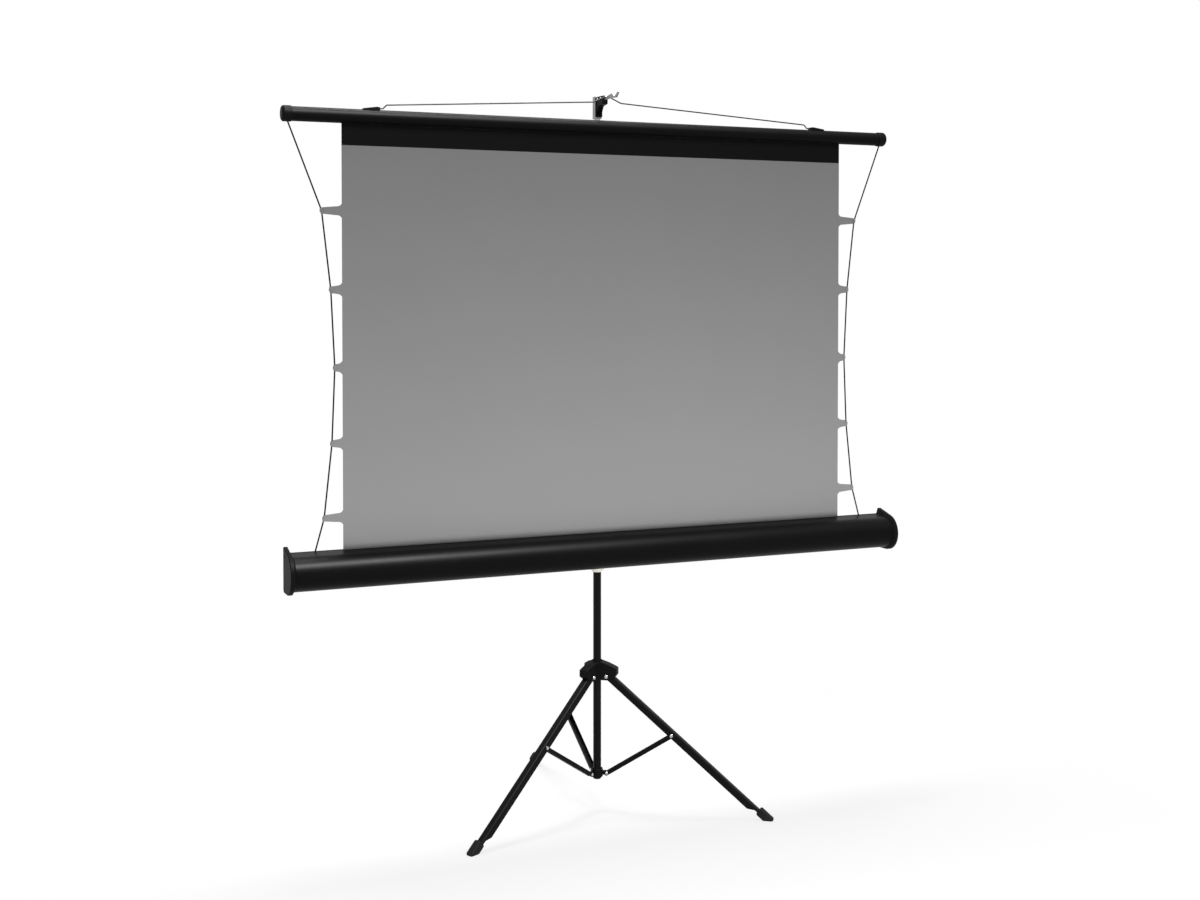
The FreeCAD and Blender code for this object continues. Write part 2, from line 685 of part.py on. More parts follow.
def carriage():
    """Collar that swivels on the bush, with a bolted flange in front and the lock boss behind."""
    low = CARRIAGE_LOW + SLIDE_FIT
    inner = BUSH_R + SLIDE_FIT
    outer = inner + CARRIAGE_WALL
    body = turned([
        (inner - 2.0, low, 0.0), (outer, low, 2.0), (outer, CARRIAGE_HIGH, 2.5), (inner - 2.0, CARRIAGE_HIGH, 0.0),
    ])
    front = flange_front()
    back = front + FLANGE_THICK
    parts = [rod(FLANGE_R, V(0, front, PIVOT_Z), V(0, back, PIVOT_Z))]
    for sign in (-1.0, 1.0):
        sides = sorted((sign * RIB_INNER, sign * RIB_OUTER))
        parts.append(prism("yz", [
            (back - 2.0, PIVOT_Z - 7.5, 0.0), (-inner, PIVOT_Z - 16.0, 0.0),
            (-inner, PIVOT_Z + 14.0, 0.0), (back - 2.0, PIVOT_Z + 7.5, 0.0),
        ], sides[0], sides[1]))
    parts.append(rod(LOCK_BOSS_R, V(0, inner, LOCK_Z), V(0, LOCK_BOSS_END, LOCK_Z)))
    body = joined(body, parts)
    body = body.cut(rod(inner, V(0, 0, low - 1.0), V(0, 0, CARRIAGE_HIGH + 1.0)))
    body = body.cut(rod(BOLT_R + RUN_FIT, V(0, front - 1.0, PIVOT_Z), V(0, back + 1.0, PIVOT_Z)))
    return body.cut(rod(LOCK_SCREW_R + RUN_FIT, V(0, inner - 1.0, LOCK_Z), V(0, LOCK_BOSS_END + 1.0, LOCK_Z)))


def cup_end():
    """Y of the bracket cup's outer face."""
    return CASE_BACK_Y + BRACKET_THICK + BRACKET_CUP_DEPTH


def rivet_places():
    """Corners of the bracket where it is riveted to the case."""
    middle = (BRACKET_LOW + BRACKET_HIGH) / 2.0
    places = []
    for x in (-BRACKET_RIVET_X, BRACKET_RIVET_X):
        for z in (-BRACKET_RIVET_Z, BRACKET_RIVET_Z):
            places.append((x, middle + z))
    return places


def case_bracket():
    """Pressed plate on the case's back, drawn to a cup round the bolt's head."""
    face = CASE_BACK_Y + RUN_FIT
    back = CASE_BACK_Y + BRACKET_THICK
    end = cup_end()
    inner = BRACKET_CUP_R - BRACKET_THICK
    body = prism("xz", [
        (-BRACKET_HALF, BRACKET_LOW, 8.0), (BRACKET_HALF, BRACKET_LOW, 8.0),
        (BRACKET_HALF, BRACKET_HIGH, 8.0), (-BRACKET_HALF, BRACKET_HIGH, 8.0),
    ], face, back)
    body = joined(body, [rod(BRACKET_CUP_R, V(0, face, PIVOT_Z), V(0, end, PIVOT_Z))])
    body = body.cut(rod(inner, V(0, face - 1.0, PIVOT_Z), V(0, end - BRACKET_THICK, PIVOT_Z)))
    body = body.cut(rod(BOLT_R + RUN_FIT, V(0, face, PIVOT_Z), V(0, end + 1.0, PIVOT_Z)))
    for x, z in rivet_places():
        body = body.cut(rod(2.0 + RUN_FIT, V(x, face - 1.0, z), V(x, back + 1.0, z)))
    return body


def pivot_bolt():
    """Bolt from inside the cup through the flange, with its nut."""
    seat = cup_end() - BRACKET_THICK - RUN_FIT
    back = flange_front() + FLANGE_THICK + RUN_FIT
    end = back + 6.5
    head = hexagon(HEX_R, V(0, seat - BOLT_HEAD, PIVOT_Z), V(0, seat, PIVOT_Z))
    bolt = joined(head, [rod(BOLT_R, V(0, seat, PIVOT_Z), V(0, end, PIVOT_Z))])
    nut = hexagon(HEX_R, V(0, back, PIVOT_Z), V(0, back + 5.0, PIVOT_Z))
    nut = nut.cut(rod(BOLT_R + RUN_FIT, V(0, back - 1.0, PIVOT_Z), V(0, back + 6.0, PIVOT_Z)))
    return group([bolt, nut])


def pivot_washer():
    """Friction washer between the cup and the flange."""
    start = cup_end() + RUN_FIT / 2.0
    end = cup_end() + WASHER_THICK
    return tube(WASHER_R, BOLT_R + RUN_FIT, V(0, start, PIVOT_Z), V(0, end, PIVOT_Z))


def bracket_rivets():
    """Blind rivets that hold the bracket to the case."""
    back = CASE_BACK_Y + BRACKET_THICK + RUN_FIT
    solids = []
    for x, z in rivet_places():
        shank = rod(2.0, V(x, CASE_BACK_Y - CASE_WALL - 1.0, z), V(x, back, z))
        solids.append(joined(shank, [dome(4.2, 1.6, V(x, back, z), V(0, 1, 0))]))
    return group(solids)


def star_knob(radius, length, start, height, bore):
    """Scalloped hand knob along +Y."""
    body = turned([
        (0.0, 0.0, 0.0), (radius * 0.62, 0.0, 0.0), (radius, length * 0.3, 2.0),
        (radius, length, 2.5), (radius * 0.55, length + 0.6, 0.0), (0.0, length + 0.6, 0.0),
    ])
    for index in range(KNOB_SCALLOPS):
        angle = 2.0 * math.pi * index / KNOB_SCALLOPS
        centre = V(radius * 1.17 * math.cos(angle), radius * 1.17 * math.sin(angle), -1.0)
        body = body.cut(rod(radius * 0.3, centre, centre + V(0, 0, length + 3.0)))
    body = body.cut(rod(bore, V(0, 0, -1.0), V(0, 0, length * 0.7)))
    body = aimed(body, V(0, 1, 0))
    body.translate(V(0, start, height))
    return body


def lock_screw(tip, start, length, height):
    """Screw of a hand knob, from its tip into the knob."""
    return rod(LOCK_SCREW_R, V(0, tip, height), V(0, start + length * 0.7 - SEAT_FIT, height))


def mast_clamp():
    """Collar on the column's top that guides the mast and holds its lock screw."""
    slide = MAST_LOWER_OD / 2.0 + SLIDE_FIT
    seat = COLUMN_R + RUN_FIT
    body = turned([
        (seat, CLAMP_LOW, 0.0),
        (CLAMP_R, CLAMP_LOW, 1.5),
        (CLAMP_R, CLAMP_TOP, 2.5),
        (slide, CLAMP_TOP, 0.0),
        (slide, COLUMN_TOP + RUN_FIT, 0.0),
        (seat, COLUMN_TOP + RUN_FIT, 0.0),
    ])
    boss = rod(7.0, V(0, CLAMP_R - 3.0, MAST_LOCK_Z), V(0, MAST_BOSS_END, MAST_LOCK_Z))
    body = joined(body, [boss])
    return body.cut(rod(LOCK_SCREW_R + RUN_FIT, V(0, seat - 1.0, MAST_LOCK_Z), V(0, MAST_BOSS_END + 1.0, MAST_LOCK_Z)))


def mast_lower_tube():
    """Middle tube of the telescopic mast."""
    radius = MAST_LOWER_OD / 2.0
    return tube(radius, radius - MAST_WALL, V(0, 0, MAST_LOWER_LOW), V(0, 0, MAST_LOWER_HIGH))


def mast_joint_ring():
    """Friction ring on the middle tube's top."""
    radius = MAST_LOWER_OD / 2.0
    slide = MAST_UPPER_OD / 2.0 + SLIDE_FIT
    low = MAST_LOWER_HIGH - RING_HEIGHT
    top = MAST_LOWER_HIGH + 1.6
    return turned([
        (radius + RUN_FIT, low, 0.0), (RING_R, low, 1.0), (RING_R, top, 1.4), (slide, top, 0.0),
        (slide, MAST_LOWER_HIGH + RUN_FIT, 0.0), (radius + RUN_FIT, MAST_LOWER_HIGH + RUN_FIT, 0.0),
    ])


def mast_upper_tube():
    """Inner tube of the telescopic mast."""
    radius = MAST_UPPER_OD / 2.0
    return tube(radius, radius - MAST_WALL, V(0, 0, MAST_UPPER_LOW), V(0, 0, MAST_UPPER_HIGH))


def mast_head():
    """Square sleeve on the mast's top."""
    half = HEAD_SIDE / 2.0
    inner = MAST_UPPER_OD / 2.0 + RUN_FIT * 2.0
    corners = [(-half, -half, 1.6), (half, -half, 1.6), (half, half, 1.6), (-half, half, 1.6)]
    body = prism("xy", corners, HEAD_LOW, HEAD_HIGH)
    return body.cut(rod(inner, V(0, 0, HEAD_LOW - 1.0), V(0, 0, HEAD_HIGH - HEAD_CAP)))


def hook_bracket():
    """Moulded plate on the head's front that grows into the block under the hook's arm."""
    face = -HEAD_SIDE / 2.0 - RUN_FIT
    plate = prism("xz", [
        (-HEAD_SIDE / 2.0, PLATE_LOW, 1.0), (HEAD_SIDE / 2.0, PLATE_LOW, 1.0),
        (HEAD_SIDE / 2.0, BLOCK_HIGH, 1.0), (-HEAD_SIDE / 2.0, BLOCK_HIGH, 1.0),
    ], face - PLATE_THICK, face)
    web = prism("yz", [
        (face - 1.0, PLATE_LOW + 6.0, 0.0), (face - 1.0, BLOCK_HIGH, 0.0),
        (BLOCK_FRONT, BLOCK_HIGH, 3.0), (BLOCK_FRONT, BLOCK_LOW, 4.0),
        (face - PLATE_THICK - 12.0, BLOCK_LOW - 3.0, 6.0), (face - PLATE_THICK, PLATE_LOW + 6.0, 0.0),
    ], -BLOCK_WIDTH / 2.0, BLOCK_WIDTH / 2.0)
    body = joined(plate, [web])
    half = ARM_WIDTH / 2.0 + RUN_FIT
    slot = block(V(-half, BLOCK_FRONT - 1.0, ARM_LOW - RUN_FIT), V(half, face - PLATE_THICK, BLOCK_HIGH + 1.0))
    body = body.cut(slot)
    for pin in hook_pin_places():
        body = body.cut(rod(HOOK_PIN_R + RUN_FIT, pin - V(BLOCK_WIDTH, 0, 0), pin + V(BLOCK_WIDTH, 0, 0)))
    return body


def hook_pin_places():
    """Centres of the rivets through the block and the arm."""
    middle = (ARM_LOW + ARM_TOP) / 2.0 - 0.5
    front = BLOCK_FRONT + HOOK_PIN_FRONT
    return [V(0, front + HOOK_PIN_PITCH, middle), V(0, front, middle)]


def hook_arm():
    """Notched arm: the bail hangs in the first notch, the second tilts the screen less."""
    rear = -HEAD_SIDE / 2.0 - RUN_FIT - PLATE_THICK - RUN_FIT
    first = SCREEN_Y
    second = SCREEN_Y - SECOND_NOTCH
    body = prism("yz", [
        (rear, ARM_LOW, 0.0),
        (rear, ARM_TOP, 0.0),
        (first + 10.0, ARM_TOP, 3.0),
        (first + 3.4, ARM_NOTCH, 1.6),
        (first - 3.4, ARM_NOTCH, 1.6),
        (first - 8.0, ARM_TOP - 3.0, 4.0),
        (second + 12.0, ARM_TOP, 4.0),
        (second + 3.4, ARM_NOTCH, 1.6),
        (second - 3.4, ARM_NOTCH, 1.6),
        (ARM_TIP + 3.0, ARM_TOP + 1.0, 2.0),
        (ARM_TIP, ARM_TOP - 1.0, 1.2),
        (ARM_TIP + 12.0, ARM_LOW - 1.5, 5.0),
        (second + 14.0, ARM_LOW, 8.0),
    ], -ARM_WIDTH / 2.0, ARM_WIDTH / 2.0)
    for pin in hook_pin_places():
        body = body.cut(rod(HOOK_PIN_R + RUN_FIT, pin - V(ARM_WIDTH, 0, 0), pin + V(ARM_WIDTH, 0, 0)))
    return body


def hook_rivets():
    """Rivets through the hook's block and arm."""
    grip = BLOCK_WIDTH / 2.0 + RUN_FIT
    return group([rivet(pin, V(1, 0, 0), grip, HOOK_PIN_R, 3.2, 1.2) for pin in hook_pin_places()])


def top_bar():
    """Round bar tube, slotted underneath for the leader."""
    start = V(-BAR_HALF, SCREEN_Y, BAR_Z)
    end = V(BAR_HALF, SCREEN_Y, BAR_Z)
    half = BAR_SLOT / 2.0
    slot = block(V(-BAR_HALF - 1.0, SCREEN_Y - half, BAR_Z - BAR_R - 1.0), V(BAR_HALF + 1.0, SCREEN_Y + half, BAR_Z))
    return tube(BAR_R, BAR_IN, start, end).cut(slot)


def bar_end(sign):
    """Rounded cap over the bar's end, with the tension cord's hole underneath."""
    start = BAR_HALF - BAR_CAP_OVER
    end = BAR_HALF + BAR_CAP_END
    seat = BAR_R + RUN_FIT
    wall = BAR_HALF + SEAT_FIT
    body = turned([
        (seat, start, 0.0), (BAR_CAP_R, start, 0.8), (BAR_CAP_R, end, 6.0),
        (0.0, end + 1.0, 0.0), (0.0, wall, 0.0), (seat, wall, 0.0),
    ])
    body = aimed(body, V(sign, 0, 0))
    body.translate(V(0, SCREEN_Y, BAR_Z))
    return body.cut(cord(sign, CORD_R + SLIDE_FIT))


def leader_rod():
    """Rod in the leader's hem that stops it in the bar's slot."""
    reach = SHEET_HALF
    return rod(LEADER_ROD_R, V(-reach, SCREEN_Y, ROD_Z), V(reach, SCREEN_Y, ROD_Z))


def bail_clips():
    """Wedge saddles on the bar's top that hold the bail's ends."""
    solids = []
    bar = rod(BAR_R + RUN_FIT, V(-BAR_HALF, SCREEN_Y, BAR_Z), V(BAR_HALF, SCREEN_Y, BAR_Z))
    top = BAR_Z + BAR_R
    for sign in (-1.0, 1.0):
        clip = prism("xz", [
            (sign * CLIP_INNER, top - 6.0, 0.0),
            (sign * CLIP_INNER, top + WIRE_SEAT + 2.7, 2.0),
            (sign * (CLIP_INNER + 8.0), top + WIRE_SEAT + 3.1, 4.0),
            (sign * CLIP_OUTER, top + 2.0, 1.0),
            (sign * CLIP_OUTER, top - 6.0, 0.0),
        ], SCREEN_Y - CLIP_HALF_WIDTH, SCREEN_Y + CLIP_HALF_WIDTH)
        clip = clip.cut(bar)
        low = V(sign * (CLIP_INNER - 1.0), SCREEN_Y, WIRE_LOW_Z)
        high = V(sign * (WIRE_END + 1.0), SCREEN_Y, WIRE_LOW_Z)
        solids.append(clip.cut(rod(WIRE_R + RUN_FIT, low, high)))
    return group(solids)


def swept(points, radius):
    """Round section carried along lines and tangent arcs."""
    path = Part.Wire(bent_edges(points, False))
    start = points[0][0]
    way = points[1][0] - start
    section = Part.Wire(Part.makeCircle(radius, start, way))
    solid = path.makePipe(Part.Face(section))
    share = solid.Volume / (math.pi * radius ** 2 * path.Length)
    print("swept length", round(path.Length, 1), "radius", radius, "volume share", round(share, 4))
    return solid


def bail_wire():
    """Wire bail from clip to clip, raised to a hump in the hook's notch."""
    step = CLIP_INNER - 8.0
    half = [
        (WIRE_END, WIRE_LOW_Z, 0.0),
        (step, WIRE_LOW_Z, 5.0),
        (step - 8.0, WIRE_LOW_Z + WIRE_STEP, 5.0),
        (WIRE_HUMP_X, WIRE_TOP_Z - WIRE_HUMP_DROP, 12.0),
        (WIRE_HUMP_X * 0.2, WIRE_TOP_Z, 5.0),
    ]
    points = [(V(-x, SCREEN_Y, z), radius) for x, z, radius in half]
    points += [(V(x, SCREEN_Y, z), radius) for x, z, radius in reversed(half)]
    return swept(points, WIRE_R)


def cord_points(sign):
    """Taut run of a tension cord from the bar's end through the tabs to the roller's flange."""
    points = [(V(sign * CORD_BAR_X, SCREEN_Y, BAR_Z - BAR_CAP_R + CORD_BAR_DEPTH), 0.0)]
    for x, z in zip(TAB_X, TAB_Z):
        points.append((V(sign * x, SCREEN_Y, z), CORD_BEND))
    points.append((V(sign * CORD_CASE_X, SCREEN_Y, CASE_Z), 0.0))
    return points


def cord(sign, radius):
    """Tension cord."""
    return swept(cord_points(sign), radius)


def tab(sign, x, z, way):
    """Side tab with a flared root and a sleeve for the cord at its tip."""
    root = SHEET_HALF
    low = SCREEN_Y - SHEET_THICK / 2.0
    flat = prism("xz", [
        (sign * (root - 1.0), z - TAB_ROOT, 0.0),
        (sign * root, z - TAB_ROOT, 0.0),
        (sign * (root + 1.5), z - TAB_NECK, 4.5),
        (sign * (x + TAB_OVER), z - TAB_TIP, 4.0),
        (sign * (x + TAB_OVER), z + TAB_TIP, 4.0),
        (sign * (root + 1.5), z + TAB_NECK, 4.5),
        (sign * root, z + TAB_ROOT, 0.0),
        (sign * (root - 1.0), z + TAB_ROOT, 0.0),
    ], low, low + SHEET_THICK)
    centre = V(sign * x, SCREEN_Y, z)
    half = way * (SLEEVE_LENGTH / 2.0)
    return flat.fuse(rod(SLEEVE_R, centre - half, centre + half))


def screen_sheet():
    """Grey sheet from the roller to the leader, with its side tabs."""
    half = SHEET_THICK / 2.0
    body = block(V(-SHEET_HALF, SCREEN_Y - half, CASE_Z), V(SHEET_HALF, SCREEN_Y + half, SHEET_TOP))
    tabs = []
    for sign in (-1.0, 1.0):
        points = [point for point, radius in cord_points(sign)]
        for index in range(len(TAB_X)):
            before = (points[index + 1] - points[index]).normalize()
            after = (points[index + 2] - points[index + 1]).normalize()
            way = (before + after).normalize()
            tabs.append(tab(sign, TAB_X[index], TAB_Z[index], way))
    body = joined(body, tabs)
    for sign in (-1.0, 1.0):
        body = body.cut(cord(sign, CORD_R + SLIDE_FIT))
    return body


def screen_leader():
    """Black leader from the sheet up into the bar's slot."""
    half = SHEET_THICK / 2.0
    return block(V(-SHEET_HALF, SCREEN_Y - half, SHEET_TOP), V(SHEET_HALF, SCREEN_Y + half, LEADER_TOP))


def d_shape(radius, rear, slope, corner, ear):
    """Case section about the roller's axis: round front, flat back and a top that rises to the rear."""
    fall = radius * math.sin(math.radians(slope))
    crest = radius * math.cos(math.radians(slope))
    front_top = crest - (radius - fall) * rise(slope)
    rear_top = crest + (rear + fall) * rise(slope)
    local = [
        (rear, -radius, corner), (rear, rear_top, ear), (-radius, front_top, radius), (-radius, -radius, radius),
    ]
    return [(CASE_Y + a, CASE_Z + b, bend) for a, b, bend in local]


def case_section(inset):
    """Outline of the case's body, drawn in by this much."""
    return d_shape(CASE_R - inset, CASE_REAR - inset, CASE_FACET, CASE_CORNER - inset, 2.5 - min(inset, 2.0))


def cap_section():
    """Outline of an end cap with its ear."""
    return d_shape(CASE_R + CAP_RIM, CASE_REAR, CAP_SLOPE, CASE_CORNER, 2.5)


def screw_places():
    """Axes of the end caps' screws in Y and Z."""
    place = SLOT_FRONT - SCREW_FROM_SLOT
    fall = CASE_R * math.sin(math.radians(CASE_FACET))
    top = CASE_R * math.cos(math.radians(CASE_FACET)) + (place + fall) * rise(CASE_FACET)
    low = (CASE_Y + CASE_REAR - SCREW_INSET, CASE_Z - CASE_R + SCREW_INSET)
    return [low, (CASE_Y + place, CASE_Z + top - SCREW_DEPTH)]


def case_shell():
    """Case extrusion, open at the slot, with bosses for the caps' screws."""
    body = prism("yz", case_section(0.0), -CASE_HALF, CASE_HALF)
    body = body.cut(prism("yz", case_section(CASE_WALL), -CASE_HALF - 1.0, CASE_HALF + 1.0))
    slot = block(
        V(-CASE_HALF - 1.0, CASE_Y + SLOT_FRONT, CASE_Z + SLOT_FRONT),
        V(CASE_HALF + 1.0, CASE_BACK_Y - CASE_WALL, CASE_Z + 2.0 * CASE_R),
    )
    body = body.cut(slot)
    bosses = []
    holes = []
    for y, z in screw_places():
        low = V(-CASE_HALF, y, z)
        high = V(CASE_HALF, y, z)
        bosses.append(rod(SCREW_BOSS_R, low, high))
        holes.append(rod(SCREW_R + SEAT_FIT, low, high))
    body = joined(body, bosses)
    body = body.cut(holes)
    for x, z in rivet_places():
        body = body.cut(rod(2.0 + RUN_FIT, V(x, CASE_BACK_Y - 4.0, z), V(x, CASE_BACK_Y + 1.0, z)))
    return body


def case_end(sign):
    """End cap with its ear, a flare down to the case, a spigot inside and the pin's boss."""
    flare = Part.makeLoft([
        outline("yz", case_section(0.0), sign * (CASE_HALF + SEAT_FIT)),
        outline("yz", cap_section(), sign * (CASE_HALF + CAP_FLARE)),
    ], True, True)
    faces = sorted((sign * (CASE_HALF + CAP_FLARE), sign * CAP_FACE))
    plate = prism("yz", cap_section(), faces[0], faces[1])
    rim = [edge for edge in plate.Edges if abs(edge.CenterOfMass.x - sign * CAP_FACE) < TINY]
    plate = plate.makeFillet(CAP_ROUND, rim)
    body = joined(plate, [flare])
    root = sign * (CASE_HALF + 1.0)
    inner = sign * (CASE_HALF - SPIGOT_LENGTH)
    ends = sorted((root, inner))
    inset = CASE_WALL + SEAT_FIT
    spigot = prism("yz", case_section(inset), ends[0], ends[1])
    spigot = spigot.cut(prism("yz", case_section(inset + SPIGOT_WALL), ends[0] - 1.0, ends[1] + 1.0))
    slot = block(
        V(ends[0] - 1.0, CASE_Y + SLOT_FRONT - 1.0, CASE_Z + SLOT_FRONT - 6.0),
        V(ends[1] + 1.0, CASE_BACK_Y, CASE_Z + 2.0 * CASE_R),
    )
    spigot = spigot.cut(slot)
    for y, z in screw_places():
        spigot = spigot.cut(rod(SCREW_BOSS_R + SLIDE_FIT, V(ends[0] - 1.0, y, z), V(ends[1] + 1.0, y, z)))
    parts = [solid for solid in spigot.Solids if solid.Volume > 100.0]
    parts.append(rod(PIN_R + 4.0, V(inner, CASE_Y, CASE_Z), V(root, CASE_Y, CASE_Z)))
    body = joined(body, parts)
    pin_hole = rod(PIN_R + RUN_FIT, V(inner - sign, CASE_Y, CASE_Z), V(sign * (CAP_FACE - 4.0), CASE_Y, CASE_Z))
    body = body.cut(pin_hole)
    for y, z in screw_places():
        seat = sign * (CAP_FACE - 3.4)
        body = body.cut(rod(SCREW_R + SEAT_FIT, V(inner, y, z), V(seat, y, z)))
        body = body.cut(rod(SCREW_HEAD_R + SEAT_FIT, V(seat, y, z), V(sign * (CAP_FACE + 1.0), y, z)))
    return body


def case_end_screws():
    """Screws of both end caps, sunk in the caps' faces."""
    solids = []
    for sign in (-1.0, 1.0):
        seat = sign * (CAP_FACE - 3.4 + RUN_FIT)
        tip = sign * (CASE_HALF - 16.0)
        for y, z in screw_places():
            head = dome(SCREW_HEAD_R, SCREW_HEAD, V(seat, y, z), V(sign, 0, 0))
            solids.append(joined(rod(SCREW_R, V(tip, y, z), V(seat, y, z)), [head]))
    return group(solids)


def idle_pin():
    """Pin in the left cap on which the roller turns."""
    return rod(PIN_R, V(SEAT_FIT + 4.0 - CAP_FACE, CASE_Y, CASE_Z), V(PIN_REACH - ROLLER_HALF, CASE_Y, CASE_Z))


def spring_arbor():
    """Rod in the right cap that carries the roller and the spring's fixed end."""
    return rod(PIN_R, V(ROLLER_HALF - ARBOR_REACH, CASE_Y, CASE_Z), V(CAP_FACE - 4.0 - SEAT_FIT, CASE_Y, CASE_Z))


def roller_spring():
    """Rewind spring closed up on the arbor."""
    low = V(ROLLER_HALF - ARBOR_REACH + 6.0, CASE_Y, CASE_Z)
    high = V(ROLLER_HALF - PLUG_LENGTH - 2.0, CASE_Y, CASE_Z)
    return tube(SPRING_R, PIN_R + SLIDE_FIT, low, high)


def roller_tube():
    """Roller of the screen."""
    start = V(-ROLLER_HALF, CASE_Y, CASE_Z)
    end = V(ROLLER_HALF, CASE_Y, CASE_Z)
    return tube(ROLLER_R, ROLLER_R - ROLLER_WALL, start, end)


def roller_plug(sign):
    """Bearing plug in the roller's end, with the flange that the tension cord winds on."""
    inner = ROLLER_R - ROLLER_WALL - SEAT_FIT
    body = turned([
        (PIN_R + RUN_FIT, ROLLER_HALF - PLUG_LENGTH, 0.0),
        (inner, ROLLER_HALF - PLUG_LENGTH, 1.5),
        (inner, ROLLER_HALF + RUN_FIT, 0.0),
        (ROLLER_FLANGE_R, ROLLER_HALF + RUN_FIT, 0.6),
        (ROLLER_FLANGE_R, ROLLER_HALF + ROLLER_FLANGE, 0.6),
        (PIN_R + RUN_FIT, ROLLER_HALF + ROLLER_FLANGE, 0.0),
    ])
    body = aimed(body, V(sign, 0, 0))
    body.translate(V(0, CASE_Y, CASE_Z))
    return body


def fabric_roll():
    """Turns of the screen left on the roller."""
    start = V(-SHEET_HALF, CASE_Y, CASE_Z)
    end = V(SHEET_HALF, CASE_Y, CASE_Z)
    return tube(ROLL_R, ROLLER_R + RUN_FIT, start, end)


def lock_pieces():
    """Knobs and screws of the carriage and of the mast clamp."""
    case_tip = BUSH_R + SLIDE_FIT
    mast_tip = MAST_LOWER_OD / 2.0 + SLIDE_FIT
    case_start = LOCK_BOSS_END + 1.2
    mast_start = MAST_BOSS_END + 1.0
    bore = LOCK_SCREW_R + RUN_FIT
    return {
        "case_lock_knob": star_knob(LOCK_KNOB_R, LOCK_KNOB_LENGTH, case_start, LOCK_Z, bore),
        "case_lock_screw": lock_screw(case_tip, case_start, LOCK_KNOB_LENGTH, LOCK_Z),
        "mast_lock_knob": star_knob(MAST_KNOB_R, MAST_KNOB_LENGTH, mast_start, MAST_LOCK_Z, bore),
        "mast_lock_screw": lock_screw(mast_tip, mast_start, MAST_KNOB_LENGTH, MAST_LOCK_Z),
    }


def all_pieces():
    """Every node with its shape."""
    pieces = {
        "column_tube": column_tube(),
        "column_plug": column_plug(),
        "stay_collar": stay_collar(),
        "stay_pins": stay_pins(),
        "mast_clamp": mast_clamp(),
        "leg_hub": leg_hub(),
        "leg_pivot_rivets": leg_pivot_rivets(),
        "slide_bush": slide_bush(),
        "carriage": carriage(),
        "case_bracket": case_bracket(),
        "pivot_bolt": pivot_bolt(),
        "pivot_washer": pivot_washer(),
        "bracket_rivets": bracket_rivets(),
        "case_shell": case_shell(),
        "case_end_left": case_end(-1.0),
        "case_end_right": case_end(1.0),
        "case_end_screws": case_end_screws(),
        "idle_pin": idle_pin(),
        "spring_arbor": spring_arbor(),
        "roller_spring": roller_spring(),
        "roller_tube": roller_tube(),
        "roller_plug_left": roller_plug(-1.0),
        "roller_plug_right": roller_plug(1.0),
        "fabric_roll": fabric_roll(),
        "screen_sheet": screen_sheet(),
        "screen_leader": screen_leader(),
        "tension_cord_left": cord(-1.0, CORD_R),
        "tension_cord_right": cord(1.0, CORD_R),
        "mast_lower_tube": mast_lower_tube(),
        "mast_joint_ring": mast_joint_ring(),
        "mast_upper_tube": mast_upper_tube(),
        "mast_head": mast_head(),
        "hook_bracket": hook_bracket(),
        "hook_arm": hook_arm(),
        "hook_rivets": hook_rivets(),
        "top_bar": top_bar(),
        "bar_end_left": bar_end(-1.0),
        "bar_end_right": bar_end(1.0),
        "leader_rod": leader_rod(),
        "bail_clips": bail_clips(),
        "bail_wire": bail_wire(),
    }
    pieces.update(lock_pieces())
    for side in LEG_SIDES:
        pieces["leg_" + side] = leg(side)
        pieces["foot_" + side] = foot(side)
        pieces["leg_rivet_" + side] = leg_rivet(side)
        pieces["stay_" + side] = stay(side)
        pieces["stay_rivets_" + side] = stay_rivets(side)
    return pieces


def main():
    """Build every piece and store it as its own file."""
    os.makedirs("parts", exist_ok=True)
    pieces = all_pieces()
    for name, shape in pieces.items():
        solids = len(shape.Solids)
        print(name, "solids", solids, "valid", shape.isValid(), "volume", round(shape.Volume, 1))
        shape.exportStep("parts/" + name + ".step")
    print("nodes", len(pieces))
    print("cord radius mm", CORD_R, "nodes tension_cord_left tension_cord_right")
    print("leg pivot", round(LEG_PIVOT_Z, 3), "stay pivot", round(STAY_PIVOT_Z, 3), "stay angle", round(STAY_ANGLE, 4))
    print("case axis", round(CASE_Z, 3), "bar", round(BAR_Z, 3), "leader top", round(LEADER_TOP, 3))


main()
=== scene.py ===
"""Dressed model of a portable projection screen on a folding tripod."""

import logging
import math
from dataclasses import dataclass
from enum import Enum
from typing import Any, Sequence

import bmesh
import bpy
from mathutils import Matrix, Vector


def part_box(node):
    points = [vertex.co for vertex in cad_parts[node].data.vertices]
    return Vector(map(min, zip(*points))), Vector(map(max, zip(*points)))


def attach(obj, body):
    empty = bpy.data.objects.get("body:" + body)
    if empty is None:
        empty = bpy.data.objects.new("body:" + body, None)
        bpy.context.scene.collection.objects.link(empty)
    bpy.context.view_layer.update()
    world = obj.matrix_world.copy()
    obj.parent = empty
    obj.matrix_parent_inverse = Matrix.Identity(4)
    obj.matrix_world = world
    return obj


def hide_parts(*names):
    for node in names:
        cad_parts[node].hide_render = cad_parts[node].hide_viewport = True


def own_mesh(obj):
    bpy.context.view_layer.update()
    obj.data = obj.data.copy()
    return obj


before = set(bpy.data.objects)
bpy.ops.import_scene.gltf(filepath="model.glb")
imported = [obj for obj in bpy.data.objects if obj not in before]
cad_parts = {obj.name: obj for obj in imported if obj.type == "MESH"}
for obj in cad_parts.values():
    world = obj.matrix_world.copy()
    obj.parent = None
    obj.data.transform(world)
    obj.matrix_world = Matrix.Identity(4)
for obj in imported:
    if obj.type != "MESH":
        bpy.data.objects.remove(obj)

LOG = logging.getLogger("projection_screen")
MM = 0.001

MERGE_DISTANCE = 1e-6
SHINE = "Specular IOR Level"

Colour = tuple[float, float, float]
Stops = Sequence[tuple[float, float]]
Material = bpy.types.Material
Piece = bpy.types.Object
Socket = bpy.types.NodeSocket
Tree = bpy.types.NodeTree


